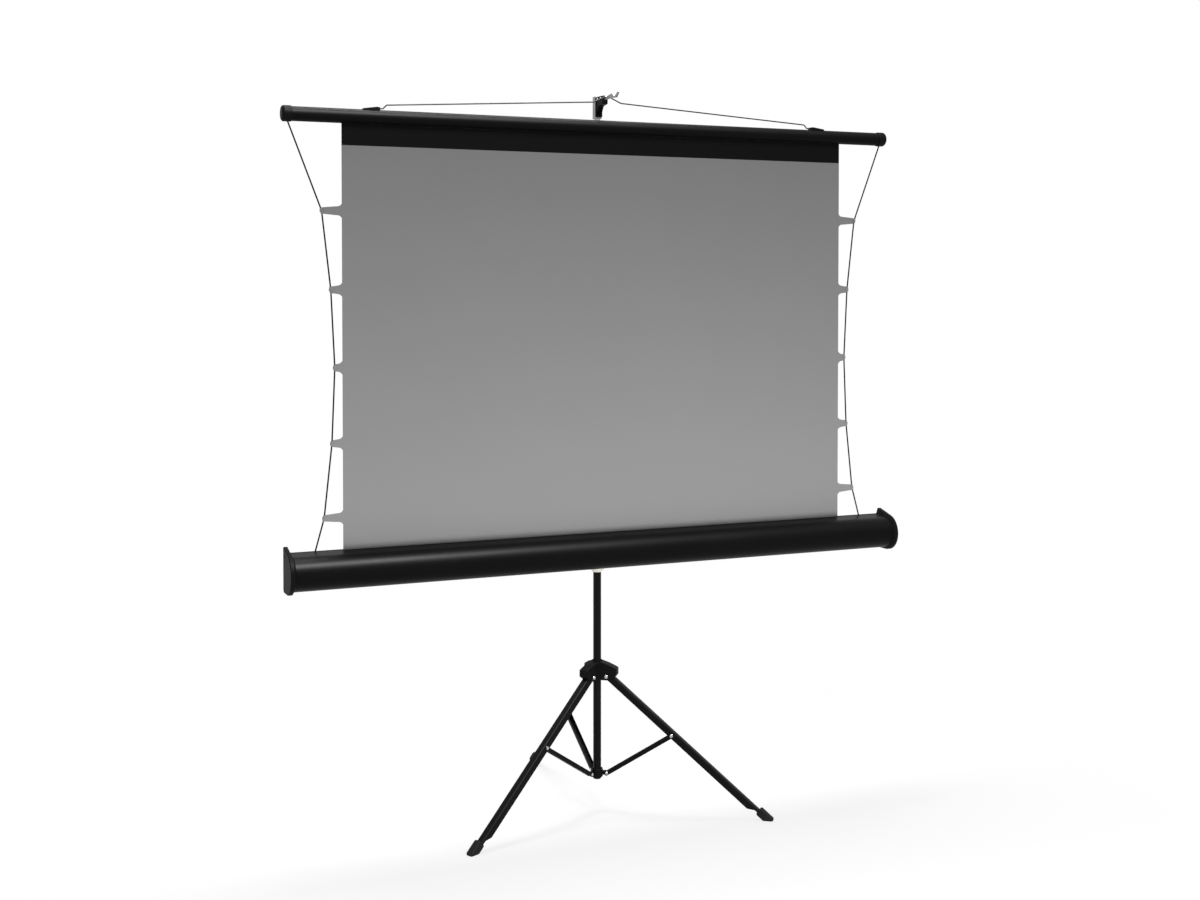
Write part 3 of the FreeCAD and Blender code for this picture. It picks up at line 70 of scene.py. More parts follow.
class Axis(Enum):
    """Axes of the object's frame: along the screen and up."""

    ALONG = (1.0, 0.0, 0.0)
    UP = (0.0, 0.0, 1.0)


class Value:
    """Socket of a shader tree that takes part in Python expressions."""

    def __init__(self, sheet: "ShaderSheet", socket: Socket) -> None:
        """Keep the tree and the socket that carries the value."""
        self.sheet = sheet
        self.socket = socket

    def _with(self, operation: str, first: Any, second: Any) -> "Value":
        """Add one Math node.

        Args:
            operation: the Math node's operation.
            first: left operand.
            second: right operand.

        Returns:
            The node's result.
        """
        node = self.sheet.node("ShaderNodeMath", {"operation": operation}, {0: first, 1: second})
        return Value(self.sheet, node.outputs[0])

    def __add__(self, other: Any) -> "Value":
        """Sum of two values."""
        return self._with("ADD", self, other)

    __radd__ = __add__

    def __sub__(self, other: Any) -> "Value":
        """Difference of two values."""
        return self._with("SUBTRACT", self, other)

    def __rsub__(self, other: Any) -> "Value":
        """Difference of a number and this value."""
        return self._with("SUBTRACT", other, self)

    def __mul__(self, other: Any) -> "Value":
        """Product of two values."""
        return self._with("MULTIPLY", self, other)

    def __pow__(self, other: Any) -> "Value":
        """Power of this value."""
        return self._with("POWER", self, other)

    def clamped(self) -> "Value":
        """This value held between nought and one."""
        return self._with("MINIMUM", self._with("MAXIMUM", self, 0.0), 1.0)


class ShaderSheet:
    """Node tree of one material, with short ways to add what the finishes use."""

    def __init__(self, name: str) -> None:
        """Start an empty material.

        Args:
            name: the material's name.
        """
        self.material = bpy.data.materials.new(name)
        self.material.use_nodes = True
        self.tree = self.material.node_tree
        self.tree.nodes.clear()

    def node(self, kind: str, settings: dict[str, Any], inputs: dict[Any, Any]) -> bpy.types.Node:
        """Add a node.

        Args:
            kind: the node's type.
            settings: properties that are set first; "stops" fills a colour ramp.
            inputs: socket names or numbers with values, sockets or Value objects.

        Returns:
            The new node.
        """
        made = self.tree.nodes.new(kind)
        for key, setting in settings.items():
            if key == "stops":
                self._fill_ramp(made, setting)
            else:
                setattr(made, key, setting)
        for key, given in inputs.items():
            socket = made.inputs[key]
            if isinstance(given, Value):
                self.tree.links.new(given.socket, socket)
            elif isinstance(given, Socket):
                self.tree.links.new(given, socket)
            else:
                socket.default_value = given
        return made

    @staticmethod
    def _fill_ramp(node: bpy.types.Node, stops: Stops) -> None:
        """Set a ramp's stops.

        Args:
            node: the ramp.
            stops: places with their grey levels.
        """
        ramp = node.color_ramp
        while len(ramp.elements) < len(stops):
            ramp.elements.new(1.0)
        for element, (place, level) in zip(ramp.elements, stops):
            element.position = place
            element.color = (level, level, level, 1.0)

    def place(self, scale: Sequence[float] = (1.0, 1.0, 1.0)) -> Socket:
        """Find the place on the object.

        Args:
            scale: factors on the object coordinates.

        Returns:
            The stretched coordinates.
        """
        source = self.node("ShaderNodeTexCoord", {}, {})
        inputs = {"Vector": source.outputs["Object"], "Scale": tuple(scale)}
        return self.node("ShaderNodeMapping", {}, inputs).outputs[0]

    def axis(self, index: int) -> Value:
        """Read one object coordinate.

        Args:
            index: 0, 1 or 2 for x, y or z.

        Returns:
            The coordinate in metres.
        """
        source = self.node("ShaderNodeTexCoord", {}, {})
        split = self.node("ShaderNodeSeparateXYZ", {}, {0: source.outputs["Object"]})
        return Value(self, split.outputs[index])

    def noise(self, scale: float, detail: float, stretch: Sequence[float] = (1.0, 1.0, 1.0)) -> Value:
        """Soft noise.

        Args:
            scale: cells per metre.
            detail: octaves.
            stretch: factors on the object coordinates.

        Returns:
            The noise value, about a half.
        """
        made = self.node(
            "ShaderNodeTexNoise", {}, {"Vector": self.place(stretch), "Scale": scale, "Detail": detail}
        )
        return Value(self, made.outputs[0])

    def wave(self, scale: float, direction: str) -> Value:
        """Even ripple along one axis, such as the threads of a weave."""
        made = self.node(
            "ShaderNodeTexWave",
            {"wave_type": "BANDS", "bands_direction": direction, "wave_profile": "SIN"},
            {"Vector": self.place(), "Scale": scale},
        )
        return Value(self, made.outputs[1])

    def ramp(self, value: Value, stops: Stops) -> Value:
        """Value passed through grey stops."""
        made = self.node("ShaderNodeValToRGB", {"stops": stops}, {0: value})
        return Value(self, made.outputs[0])

    def mix(self, share: Value, first: Colour, second: Colour) -> Socket:
        """Colour between two colours."""
        inputs = {0: share.clamped(), 6: (*first, 1.0), 7: (*second, 1.0)}
        return self.node("ShaderNodeMix", {"data_type": "RGBA"}, inputs).outputs[2]

    def bump(self, height: Value, distance: float) -> Socket:
        """Normal raised by a height of this depth in metres."""
        made = self.node("ShaderNodeBump", {}, {"Strength": 1.0, "Distance": distance, "Height": height})
        return made.outputs[0]

    def surface(self, colour: Socket, rough: Value, normal: Socket, more: dict[str, float]) -> Material:
        """Close the tree with a principled surface.

        Args:
            colour: the base colour.
            rough: the roughness.
            normal: the raised normal.
            more: further sockets with plain values.

        Returns:
            The finished material.
        """
        inputs = {"Base Color": colour, "Roughness": rough.clamped(), "Normal": normal, **more}
        shader = self.node("ShaderNodeBsdfPrincipled", {}, inputs)
        self.node("ShaderNodeOutputMaterial", {}, {"Surface": shader.outputs[0]})
        return self.material


@dataclass(frozen=True)
class PaintFinish:
    """Sprayed paint on metal: faint orange peel, dust and rubbed patches."""

    name: str
    colour: Colour
    rubbed: Colour
    roughness: float
    shine: float
    peel: float = 0.00002
    peel_scale: float = 900.0
    patch_scale: float = 7.0
    patch_share: float = 0.5
    patch_dulling: float = 0.1
    dust_scale: float = 260.0
    dust_stops: Stops = ((0.55, 0.0), (0.8, 1.0))
    dust_share: float = 0.35
    dust_dulling: float = 0.08
    gloss: float = 0.05

    def material(self) -> Material:
        """Build the paint.

        Returns:
            The paint's material.
        """
        sheet = ShaderSheet(self.name)
        patches = sheet.noise(self.patch_scale, detail=3.0)
        peel = sheet.noise(self.peel_scale, detail=1.0)
        dust = sheet.ramp(sheet.noise(self.dust_scale, detail=4.0), self.dust_stops)
        rubbing = patches * self.patch_share + dust * self.dust_share
        rough = self.roughness - self.gloss + patches * self.patch_dulling + dust * self.dust_dulling
        colour = sheet.mix(rubbing, self.colour, self.rubbed)
        return sheet.surface(colour, rough, sheet.bump(peel, self.peel), {SHINE: self.shine})


@dataclass(frozen=True)
class MouldingFinish:
    """Moulded plastic: spark-eroded grain and a trace of flow in the colour."""

    name: str
    colour: Colour
    worn: Colour
    roughness: float
    shine: float
    grain_scale: float = 1400.0
    grain_depth: float = 0.00004
    grain_share: float = 0.3
    grain_dulling: float = 0.08
    flow_scale: float = 22.0
    flow_share: float = 0.6
    flow_dulling: float = 0.08
    gloss: float = 0.08

    def material(self) -> Material:
        """Build the moulding.

        Returns:
            The moulding's material.
        """
        sheet = ShaderSheet(self.name)
        grain = sheet.noise(self.grain_scale, detail=3.0)
        flow = sheet.noise(self.flow_scale, detail=3.0)
        wear = flow * self.flow_share + grain * self.grain_share
        rough = self.roughness - self.gloss + flow * self.flow_dulling + grain * self.grain_dulling
        colour = sheet.mix(wear, self.colour, self.worn)
        return sheet.surface(colour, rough, sheet.bump(grain, self.grain_depth), {SHINE: self.shine})


@dataclass(frozen=True)
class PlateFinish:
    """Bare or plated steel: drawn lines along one axis and a cloudy plating."""

    name: str
    bright: Colour
    dull: Colour
    roughness: float
    drawn: Axis = Axis.UP
    line_scale: float = 1300.0
    line_stretch: float = 0.04
    line_share: float = 0.2
    line_dulling: float = 0.1
    line_depth: float = 0.00002
    cloud_scale: float = 45.0
    cloud_share: float = 0.8
    cloud_dulling: float = 0.12
    gloss: float = 0.1

    def material(self) -> Material:
        """Build the metal.

        Returns:
            The metal's material.
        """
        sheet = ShaderSheet(self.name)
        stretch = [self.line_stretch if part else 1.0 for part in self.drawn.value]
        lines = sheet.noise(self.line_scale, detail=2.0, stretch=stretch)
        cloud = sheet.noise(self.cloud_scale, detail=4.0)
        dulling = cloud * self.cloud_share + lines * self.line_share
        rough = self.roughness - self.gloss + cloud * self.cloud_dulling + lines * self.line_dulling
        colour = sheet.mix(dulling, self.bright, self.dull)
        return sheet.surface(colour, rough, sheet.bump(lines, self.line_depth), {"Metallic": 1.0})


@dataclass(frozen=True)
class RubberFinish:
    """Moulded rubber: dusty, with scuffs towards the floor."""

    name: str
    colour: Colour
    dusty: Colour
    roughness: float = 0.62
    shine: float = 0.1
    dust_scale: float = 160.0
    dust_share: float = 0.6
    dust_dulling: float = 0.2
    dust_depth: float = 0.0001
    scuff_rate: float = 40.0
    scuff_share: float = 0.4

    def material(self) -> Material:
        """Build the rubber.

        Returns:
            The rubber's material.
        """
        sheet = ShaderSheet(self.name)
        dust = sheet.noise(self.dust_scale, detail=5.0)
        scuffs = (1.0 - sheet.axis(2) * self.scuff_rate).clamped()
        wear = dust * self.dust_share + scuffs * self.scuff_share
        colour = sheet.mix(wear, self.colour, self.dusty)
        rough = self.roughness + dust * self.dust_dulling
        return sheet.surface(colour, rough, sheet.bump(dust, self.dust_depth), {SHINE: self.shine})


@dataclass(frozen=True)
class ClothFinish:
    """Coated screen cloth: a fine plain weave under the coating, with painted shade: a second colour mixed in
    more strongly towards the top.
    """

    name: str
    colour: Colour
    painted_top_shade: Colour
    roughness: float
    shine: float
    threads: float = 900.0
    weave_share: float = 0.02
    weave_depth: float = 0.00003
    cloud_scale: float = 4.0
    cloud_share: float = 0.1
    grain_scale: float = 1500.0
    grain_share: float = 0.08
    grain_dulling: float = 0.1
    painted_shade_foot: float = 0.68
    painted_shade_rate: float = 1.1
    painted_shade_share: float = 0.8

    def material(self) -> Material:
        """Build the cloth.

        Returns:
            The cloth's material.
        """
        sheet = ShaderSheet(self.name)
        weave = sheet.wave(self.threads, "X") + sheet.wave(self.threads, "Z")
        cloud = sheet.noise(self.cloud_scale, detail=3.0)
        grain = sheet.noise(self.grain_scale, detail=1.0)
        # Painted shade: above the foot height the second colour is mixed in more and more, darkening the
        # sheet towards its top; the cloud adds random tone.
        height = ((sheet.axis(2) - self.painted_shade_foot) * self.painted_shade_rate).clamped()
        painted_shade_and_cloud = height * self.painted_shade_share + cloud * self.cloud_share
        depth = painted_shade_and_cloud + grain * self.grain_share + weave * self.weave_share
        colour = sheet.mix(depth, self.colour, self.painted_top_shade)
        rough = self.roughness + grain * self.grain_dulling
        return sheet.surface(colour, rough, sheet.bump(weave, self.weave_depth), {SHINE: self.shine})


@dataclass(frozen=True)
class BraidFinish:
    """Braided cord: slanting strands and a fuzz, laid out in the object's coordinates."""

    name: str
    colour: Colour
    light: Colour
    roughness: float = 0.7
    shine: float = 0.04
    strand_scale: float = 420.0
    strand_share: float = 0.5
    strand_depth: float = 0.00006
    fuzz_scale: float = 2600.0
    fuzz_share: float = 0.4
    fuzz_dulling: float = 0.2

    def material(self) -> Material:
        """Build the braid.

        Returns:
            The braid's material.
        """
        sheet = ShaderSheet(self.name)
        strands = sheet.wave(self.strand_scale, "DIAGONAL")
        fuzz = sheet.noise(self.fuzz_scale, detail=2.0)
        lightness = strands * self.strand_share + fuzz * self.fuzz_share
        colour = sheet.mix(lightness, self.colour, self.light)
        rough = self.roughness + fuzz * self.fuzz_dulling
        return sheet.surface(colour, rough, sheet.bump(strands, self.strand_depth), {SHINE: self.shine})


CASE_PAINT = PaintFinish(
    "case_paint", (0.0012, 0.0012, 0.0013), (0.0026, 0.0026, 0.0026), roughness=0.4, shine=0.06)
BAR_PAINT = PaintFinish(
    "bar_paint", (0.0014, 0.0014, 0.0017), (0.003, 0.003, 0.0035), roughness=0.46, shine=0.045)
LEG_PAINT = PaintFinish(
    "leg_paint", (0.003, 0.003, 0.003), (0.0065, 0.0062, 0.0058), roughness=0.42, shine=0.05)
COLUMN_PAINT = PaintFinish(
    "column_paint", (0.002, 0.002, 0.0022), (0.005, 0.005, 0.0052), roughness=0.32, shine=0.08, peel=0.00001)
BLACK_MOULDING = MouldingFinish(
    "black_moulding", (0.003, 0.003, 0.0032), (0.006, 0.006, 0.0064), roughness=0.5, shine=0.035)
NYLON = MouldingFinish(
    "ivory_nylon", (0.60, 0.585, 0.52), (0.5, 0.485, 0.43), roughness=0.45, shine=0.4,
    grain_scale=700.0, grain_depth=0.00002)
ZINC = PlateFinish("zinc_plate", (0.30, 0.30, 0.30), (0.19, 0.19, 0.19), roughness=0.5)
MAST_ZINC = PlateFinish("mast_plate", (0.46, 0.46, 0.46), (0.34, 0.34, 0.34), roughness=0.34)
WIRE_STEEL = PlateFinish(
    "wire_steel", (0.02, 0.0192, 0.0175), (0.011, 0.0106, 0.0097), roughness=0.5, drawn=Axis.ALONG)
RIVET_STEEL = PlateFinish("rivet_steel", (0.5, 0.5, 0.5), (0.38, 0.38, 0.38), roughness=0.3)
FOOT_RUBBER = RubberFinish("foot_rubber", (0.004, 0.0041, 0.0038), (0.012, 0.0121, 0.011))
# The second colour is painted shade, mixed in more towards the sheet's top.
SCREEN_GREY = ClothFinish(
    "screen_grey", (0.28, 0.28, 0.28), (0.166, 0.166, 0.166), roughness=0.72, shine=0.06)
LEADER_BLACK = ClothFinish(
    "leader_black", (0.0022, 0.0022, 0.0024), (0.0038, 0.0038, 0.004), roughness=0.55, shine=0.02)
CORD_BLACK = BraidFinish("cord_black", (0.0012, 0.0012, 0.0012), (0.0035, 0.0035, 0.0035))


class MeshShop:
    """Small ways to turn point lists and modifiers into plain meshes."""

    @staticmethod
    def linked(name: str, data: bpy.types.ID) -> Piece:
        """Put data into the scene as an object of this name."""
        made = bpy.data.objects.new(name, data)
        bpy.context.scene.collection.objects.link(made)
        return made

    @classmethod
    def from_faces(cls, name: str, points: Sequence[Vector], faces: Sequence[Sequence[int]]) -> Piece:
        """Make an object, its doubles merged and its faces turned outwards.

        Args:
            name: the object's name.
            points: its points in metres.
            faces: point numbers of each face.

        Returns:
            The object.
        """
        mesh = bpy.data.meshes.new(name)
        mesh.from_pydata([tuple(point) for point in points], [], [tuple(face) for face in faces])
        shell = bmesh.new()
        shell.from_mesh(mesh)
        bmesh.ops.remove_doubles(shell, verts=shell.verts, dist=MERGE_DISTANCE)
        bmesh.ops.recalc_face_normals(shell, faces=shell.faces)
        shell.to_mesh(mesh)
        shell.free()
        return cls.linked(name, mesh)

    @staticmethod
    def baked(piece: Piece) -> Piece:
        """Replace a piece's mesh by its evaluated one and drop its modifiers.

        Args:
            piece: the object with modifiers.

        Returns:
            The same object.
        """
        bpy.context.view_layer.update()
        graph = bpy.context.evaluated_depsgraph_get()
        mesh = bpy.data.meshes.new_from_object(piece.evaluated_get(graph))
        piece.modifiers.clear()
        piece.data = mesh
        return piece

    @classmethod
    def thickened(cls, piece: Piece, thickness: float) -> Piece:
        """Give a flat piece a wall, half on each side.

        Args:
            piece: the flat object.
            thickness: the wall in metres.

        Returns:
            The same object.
        """
        wall = piece.modifiers.new("wall", "SOLIDIFY")
        wall.thickness = thickness
        wall.offset = 0.0
        return cls.baked(piece)

    @staticmethod
    def dressed(piece: Piece, material: Material, smooth: bool = False) -> None:
        """Give a piece its only material.

        Args:
            piece: the object.
            material: its finish.
            smooth: whether its faces are shaded as one round surface.
        """
        piece.data.materials.clear()
        piece.data.materials.append(material)
        for face in piece.data.polygons:
            face.use_smooth = smooth


class NodeShop:
    """Geometry Nodes trees of the pieces that repeat or follow a path."""

    SLEEVE_SIDES = 20
    SLEEVE_RINGS = 2

    @staticmethod
    def tree(name: str, inputs: Sequence[tuple[str, str]]) -> Tree:
        """Start a tree with a geometry input, named inputs and a geometry output.

        Args:
            name: the tree's name.
            inputs: name and socket type of each further input.

        Returns:
            The empty tree.
        """
        made = bpy.data.node_groups.new(name, "GeometryNodeTree")
        made.interface.new_socket("Geometry", in_out="INPUT", socket_type="NodeSocketGeometry")
        for label, kind in inputs:
            made.interface.new_socket(label, in_out="INPUT", socket_type=kind)
        made.interface.new_socket("Geometry", in_out="OUTPUT", socket_type="NodeSocketGeometry")
        return made

    @staticmethod
    def closed(tree: Tree, source: Socket, material: Socket) -> None:
        """End a tree in realized instances with their material.

        Args:
            tree: the tree.
            source: the geometry that it has made.
            material: the socket that carries the finish.
        """
        real = tree.nodes.new("GeometryNodeRealizeInstances")
        paint = tree.nodes.new("GeometryNodeSetMaterial")
        end = tree.nodes.new("NodeGroupOutput")
        tree.links.new(source, real.inputs[0])
        tree.links.new(real.outputs[0], paint.inputs["Geometry"])
        tree.links.new(material, paint.inputs["Material"])
        tree.links.new(paint.outputs[0], end.inputs[0])

    @staticmethod
    def applied(piece: Piece, tree: Tree, values: dict[str, Any]) -> Piece:
        """Run a tree on a piece and keep its result as a plain mesh.

        Args:
            piece: the object that carries the tree's input geometry.
            tree: the tree.
            values: input names with their values.

        Returns:
            The same object with the result as its mesh.
        """
        modifier = piece.modifiers.new(tree.name, "NODES")
        modifier.node_group = tree
        for item in tree.interface.items_tree:
            if item.in_out == "INPUT" and item.name in values:
                modifier[item.identifier] = values[item.name]
        return MeshShop.baked(piece)

    @classmethod
    def tube_tree(cls) -> Tree:
        """Make the tree that gives a line of points a round section.

        Returns:
            The tree, with radius, sides and material as inputs.
        """
        tree = cls.tree("cord_tube", [("Radius", "NodeSocketFloat"), ("Sides", "NodeSocketInt"),
                                      ("Material", "NodeSocketMaterial")])
        start = tree.nodes.new("NodeGroupInput")
        line = tree.nodes.new("GeometryNodeMeshToCurve")
        ring = tree.nodes.new("GeometryNodeCurvePrimitiveCircle")
        tube = tree.nodes.new("GeometryNodeCurveToMesh")
        smooth = tree.nodes.new("GeometryNodeSetShadeSmooth")
        tree.links.new(start.outputs["Geometry"], line.inputs[0])
        tree.links.new(start.outputs["Radius"], ring.inputs["Radius"])
        tree.links.new(start.outputs["Sides"], ring.inputs["Resolution"])
        tree.links.new(line.outputs[0], tube.inputs["Curve"])
        tree.links.new(ring.outputs[0], tube.inputs["Profile Curve"])
        tube.inputs["Fill Caps"].default_value = True
        tree.links.new(tube.outputs[0], smooth.inputs[0])
        cls.closed(tree, smooth.outputs[0], start.outputs["Material"])
        return tree

    @classmethod
    def sleeve_tree(cls) -> Tree:
        """Make the tree that sets a short sleeve on every point, leaned by the point's own angle.

        Returns:
            The tree, with radius, length and material as inputs.
        """
        tree = cls.tree("tab_sleeves", [("Radius", "NodeSocketFloat"), ("Length", "NodeSocketFloat"),
                                        ("Material", "NodeSocketMaterial")])
        start = tree.nodes.new("NodeGroupInput")
        body = tree.nodes.new("GeometryNodeMeshCylinder")
        body.inputs["Vertices"].default_value = cls.SLEEVE_SIDES
        body.inputs["Side Segments"].default_value = cls.SLEEVE_RINGS
        lean = tree.nodes.new("GeometryNodeInputNamedAttribute")
        lean.data_type = "FLOAT"
        lean.inputs["Name"].default_value = "lean"
        turn = tree.nodes.new("ShaderNodeCombineXYZ")
        spread = tree.nodes.new("GeometryNodeInstanceOnPoints")
        tree.links.new(start.outputs["Geometry"], spread.inputs["Points"])
        tree.links.new(start.outputs["Radius"], body.inputs["Radius"])
        tree.links.new(start.outputs["Length"], body.inputs["Depth"])
        tree.links.new(body.outputs["Mesh"], spread.inputs["Instance"])
        tree.links.new(lean.outputs[0], turn.inputs["Y"])
        tree.links.new(turn.outputs[0], spread.inputs["Rotation"])
        cls.closed(tree, spread.outputs[0], start.outputs["Material"])
        return tree


def dress_nodes(material: Material, names: Sequence[str]) -> None:
    """Give CAD nodes a finish.

    Args:
        material: the finish.
        names: the nodes that wear it.
    """
    for name in names:
        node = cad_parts[name]
        if not node.material_slots:
            node.data.materials.append(material)
        for slot in node.material_slots:
            slot.material = material
        LOG.info("dressed %s in %s", name, material.name)


@dataclass(frozen=True)
class Lamp:
    """Soft lamp: its place and target in metres, its size and its power in watts.

    A lamp that does not light shows only as a reflection; one that is not mirrored has no reflection.
    """

    name: str
    place: tuple[float, float, float]
    target: tuple[float, float, float]
    size: tuple[float, float]
    power: float
    lights: bool = True
    mirrored: bool = True

    def build(self) -> None:
        """Hang the lamp."""
        data = bpy.data.lights.new(self.name, "AREA")
        data.shape = "RECTANGLE"
        data.size, data.size_y = self.size
        data.energy = self.power
        lamp = bpy.data.objects.new(self.name, data)
        lamp.location = self.place
        lamp.visible_diffuse = self.lights
        lamp.visible_glossy = self.mirrored
        aim = Vector(self.target) - Vector(self.place)
        lamp.rotation_euler = aim.to_track_quat("-Z", "Y").to_euler()
        bpy.context.scene.collection.objects.link(lamp)


@dataclass
class Studio:
    """Camera, floor, lamps and the white surroundings."""

    eye: tuple[float, float, float] = (-1.44, -3.3873, 1.2486)
    heading: float = -23.137
    tilt: float = 88.435
    lens: float = 46.44
    lift: float = -0.1
    floor_half: float = 30.0
    floor_colour: Colour = (0.93, 0.93, 0.93)
    ambient: float = 0.36
    floor_glow: float = 0.8
    sensor: float = 36.0
    far: float = 200.0
    fade_scale: float = 0.1
    fade_near: float = 0.06
    fade_far: float = 0.16
    lamps: Sequence[Lamp] = (
        Lamp("strip", (0.05, -1.9, 3.95), (-0.1, 0.0, 0.8), (1.0, 1.2), 520.0, lights=False),
        Lamp("side", (-2.5, -2.0, 3.0), (-0.1, 0.0, 0.9), (1.2, 1.2), 8.0),
        Lamp("low_fill", (0.1, -1.7, 0.25), (0.0, -0.06, 0.72), (2.2, 0.5), 24.0, mirrored=False),
        Lamp("overhead", (0.0, 0.35, 3.2), (0.0, 0.0, 1.4), (1.6, 0.7), 85.0),
    )

    def build(self) -> None:
        """Set up the whole studio."""
        self.add_camera()
        self.add_world()
        self.add_floor()
        for lamp in self.lamps:
            lamp.build()
        bpy.context.scene.view_settings.view_transform = "Standard"

    def add_camera(self) -> None:
        """Stand the camera where the photograph was taken from."""
        data = bpy.data.cameras.new("camera")
        data.lens = self.lens
        data.sensor_width = self.sensor
        data.shift_y = self.lift
        data.clip_end = self.far
        camera = bpy.data.objects.new("camera", data)
        camera.location = self.eye
        camera.rotation_euler = (math.radians(self.tilt), 0.0, math.radians(self.heading))
        bpy.context.scene.collection.objects.link(camera)
        bpy.context.scene.camera = camera

    def add_world(self) -> None:
        """White surroundings: full for what is seen or mirrored, lower as light."""
        world = bpy.data.worlds.new("studio")
        bpy.context.scene.world = world
        world.use_nodes = True
        tree = world.node_tree
        tree.nodes.clear()
        path = tree.nodes.new("ShaderNodeLightPath")
        either = tree.nodes.new("ShaderNodeMath")
        either.operation = "MAXIMUM"
        tree.links.new(path.outputs["Is Camera Ray"], either.inputs[0])
        tree.links.new(path.outputs["Is Glossy Ray"], either.inputs[1])
        any_of = tree.nodes.new("ShaderNodeMath")
        any_of.operation = "MAXIMUM"
        tree.links.new(either.outputs[0], any_of.inputs[0])
        tree.links.new(path.outputs["Is Transmission Ray"], any_of.inputs[1])
        level = tree.nodes.new("ShaderNodeMapRange")
        level.inputs["To Min"].default_value = self.ambient
        level.inputs["To Max"].default_value = 1.0
        tree.links.new(any_of.outputs[0], level.inputs["Value"])
        light = tree.nodes.new("ShaderNodeBackground")
        light.inputs["Color"].default_value = (1.0, 1.0, 1.0, 1.0)
        tree.links.new(level.outputs["Result"], light.inputs["Strength"])
        end = tree.nodes.new("ShaderNodeOutputWorld")
        tree.links.new(light.outputs[0], end.inputs["Surface"])

    def add_floor(self) -> None:
        """Pale floor that takes the shadows and fades into the white."""
        half = self.floor_half
        points = [Vector((-half, -half, 0.0)), Vector((half, -half, 0.0)),
                  Vector((half, half, 0.0)), Vector((-half, half, 0.0))]
        floor = MeshShop.from_faces("floor", points, [(0, 1, 2, 3)])
        sheet = ShaderSheet("pale_floor")
        reach = (sheet.axis(0) ** 2.0 + sheet.axis(1) ** 2.0) ** 0.5
        stops = ((self.fade_near, self.floor_glow), (self.fade_far, 1.0))
        fade = sheet.ramp(reach * self.fade_scale, stops)
        matt = sheet.node("ShaderNodeBsdfDiffuse", {}, {"Color": (*self.floor_colour, 1.0)})
        white = sheet.node("ShaderNodeEmission", {}, {"Color": (1.0, 1.0, 1.0, 1.0), "Strength": 1.0})
        blend = sheet.node("ShaderNodeMixShader", {}, {0: fade, 1: matt.outputs[0], 2: white.outputs[0]})
        sheet.node("ShaderNodeOutputMaterial", {}, {"Surface": blend.outputs[0]})
        MeshShop.dressed(floor, sheet.material)


@dataclass
class TensionCord:
    """Taut side cord from the bar's end through the five tabs to the roller."""

    side: str
    sign: float
    plane: float = -60.0
    radius: float = 1.7
    sides: int = 14
    order: int = 3
    steps: int = 10
    route: Sequence[tuple[float, float]] = (
        (749.5, 1612.0), (680.72, 1432.25), (674.5, 1416.0), (672.54, 1398.71), (656.96, 1261.29),
        (655.0, 1244.0), (654.18, 1226.62), (647.82, 1091.38), (647.0, 1074.0), (647.74, 1056.62),
        (653.26, 925.88), (654.0, 908.5), (655.92, 891.21), (670.08, 763.29), (672.0, 746.0),
        (676.7, 729.25), (703.5, 633.743),
    )

    def centreline(self) -> list[Vector]:
        """Points of the smooth line through the route.

        Returns:
            The points in metres, from the bar down.
        """
        data = bpy.data.curves.new(f"cord_route_{self.side}", "CURVE")
        data.dimensions = "3D"
        data.resolution_u = self.steps
        spline = data.splines.new("NURBS")
        spline.points.add(len(self.route) - 1)
        for point, (x, z) in zip(spline.points, self.route):
            point.co = (self.sign * x * MM, self.plane * MM, z * MM, 1.0)
        spline.order_u = self.order
        spline.use_endpoint_u = True
        holder = MeshShop.linked(data.name, data)
        bpy.context.view_layer.update()
        graph = bpy.context.evaluated_depsgraph_get()
        mesh = bpy.data.meshes.new_from_object(holder.evaluated_get(graph))
        points = [vertex.co.copy() for vertex in mesh.vertices]
        bpy.data.objects.remove(holder)
        return points

    def build(self, tree: Tree, material: Material) -> Piece:
        """Make the cord's tube along its line.

        Args:
            tree: the tube's tree.
            material: the braid.

        Returns:
            The cord, riding on the case.
        """
        points = self.centreline()
        mesh = bpy.data.meshes.new(f"side_cord_{self.side}")
        edges = [(i, i + 1) for i in range(len(points) - 1)]
        mesh.from_pydata([tuple(point) for point in points], edges, [])
        cord = MeshShop.linked(mesh.name, mesh)
        values = {"Radius": self.radius * MM, "Sides": self.sides, "Material": material}
        NodeShop.applied(cord, tree, values)
        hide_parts(f"tension_cord_{self.side}")
        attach(cord, "case_unit")
        return cord


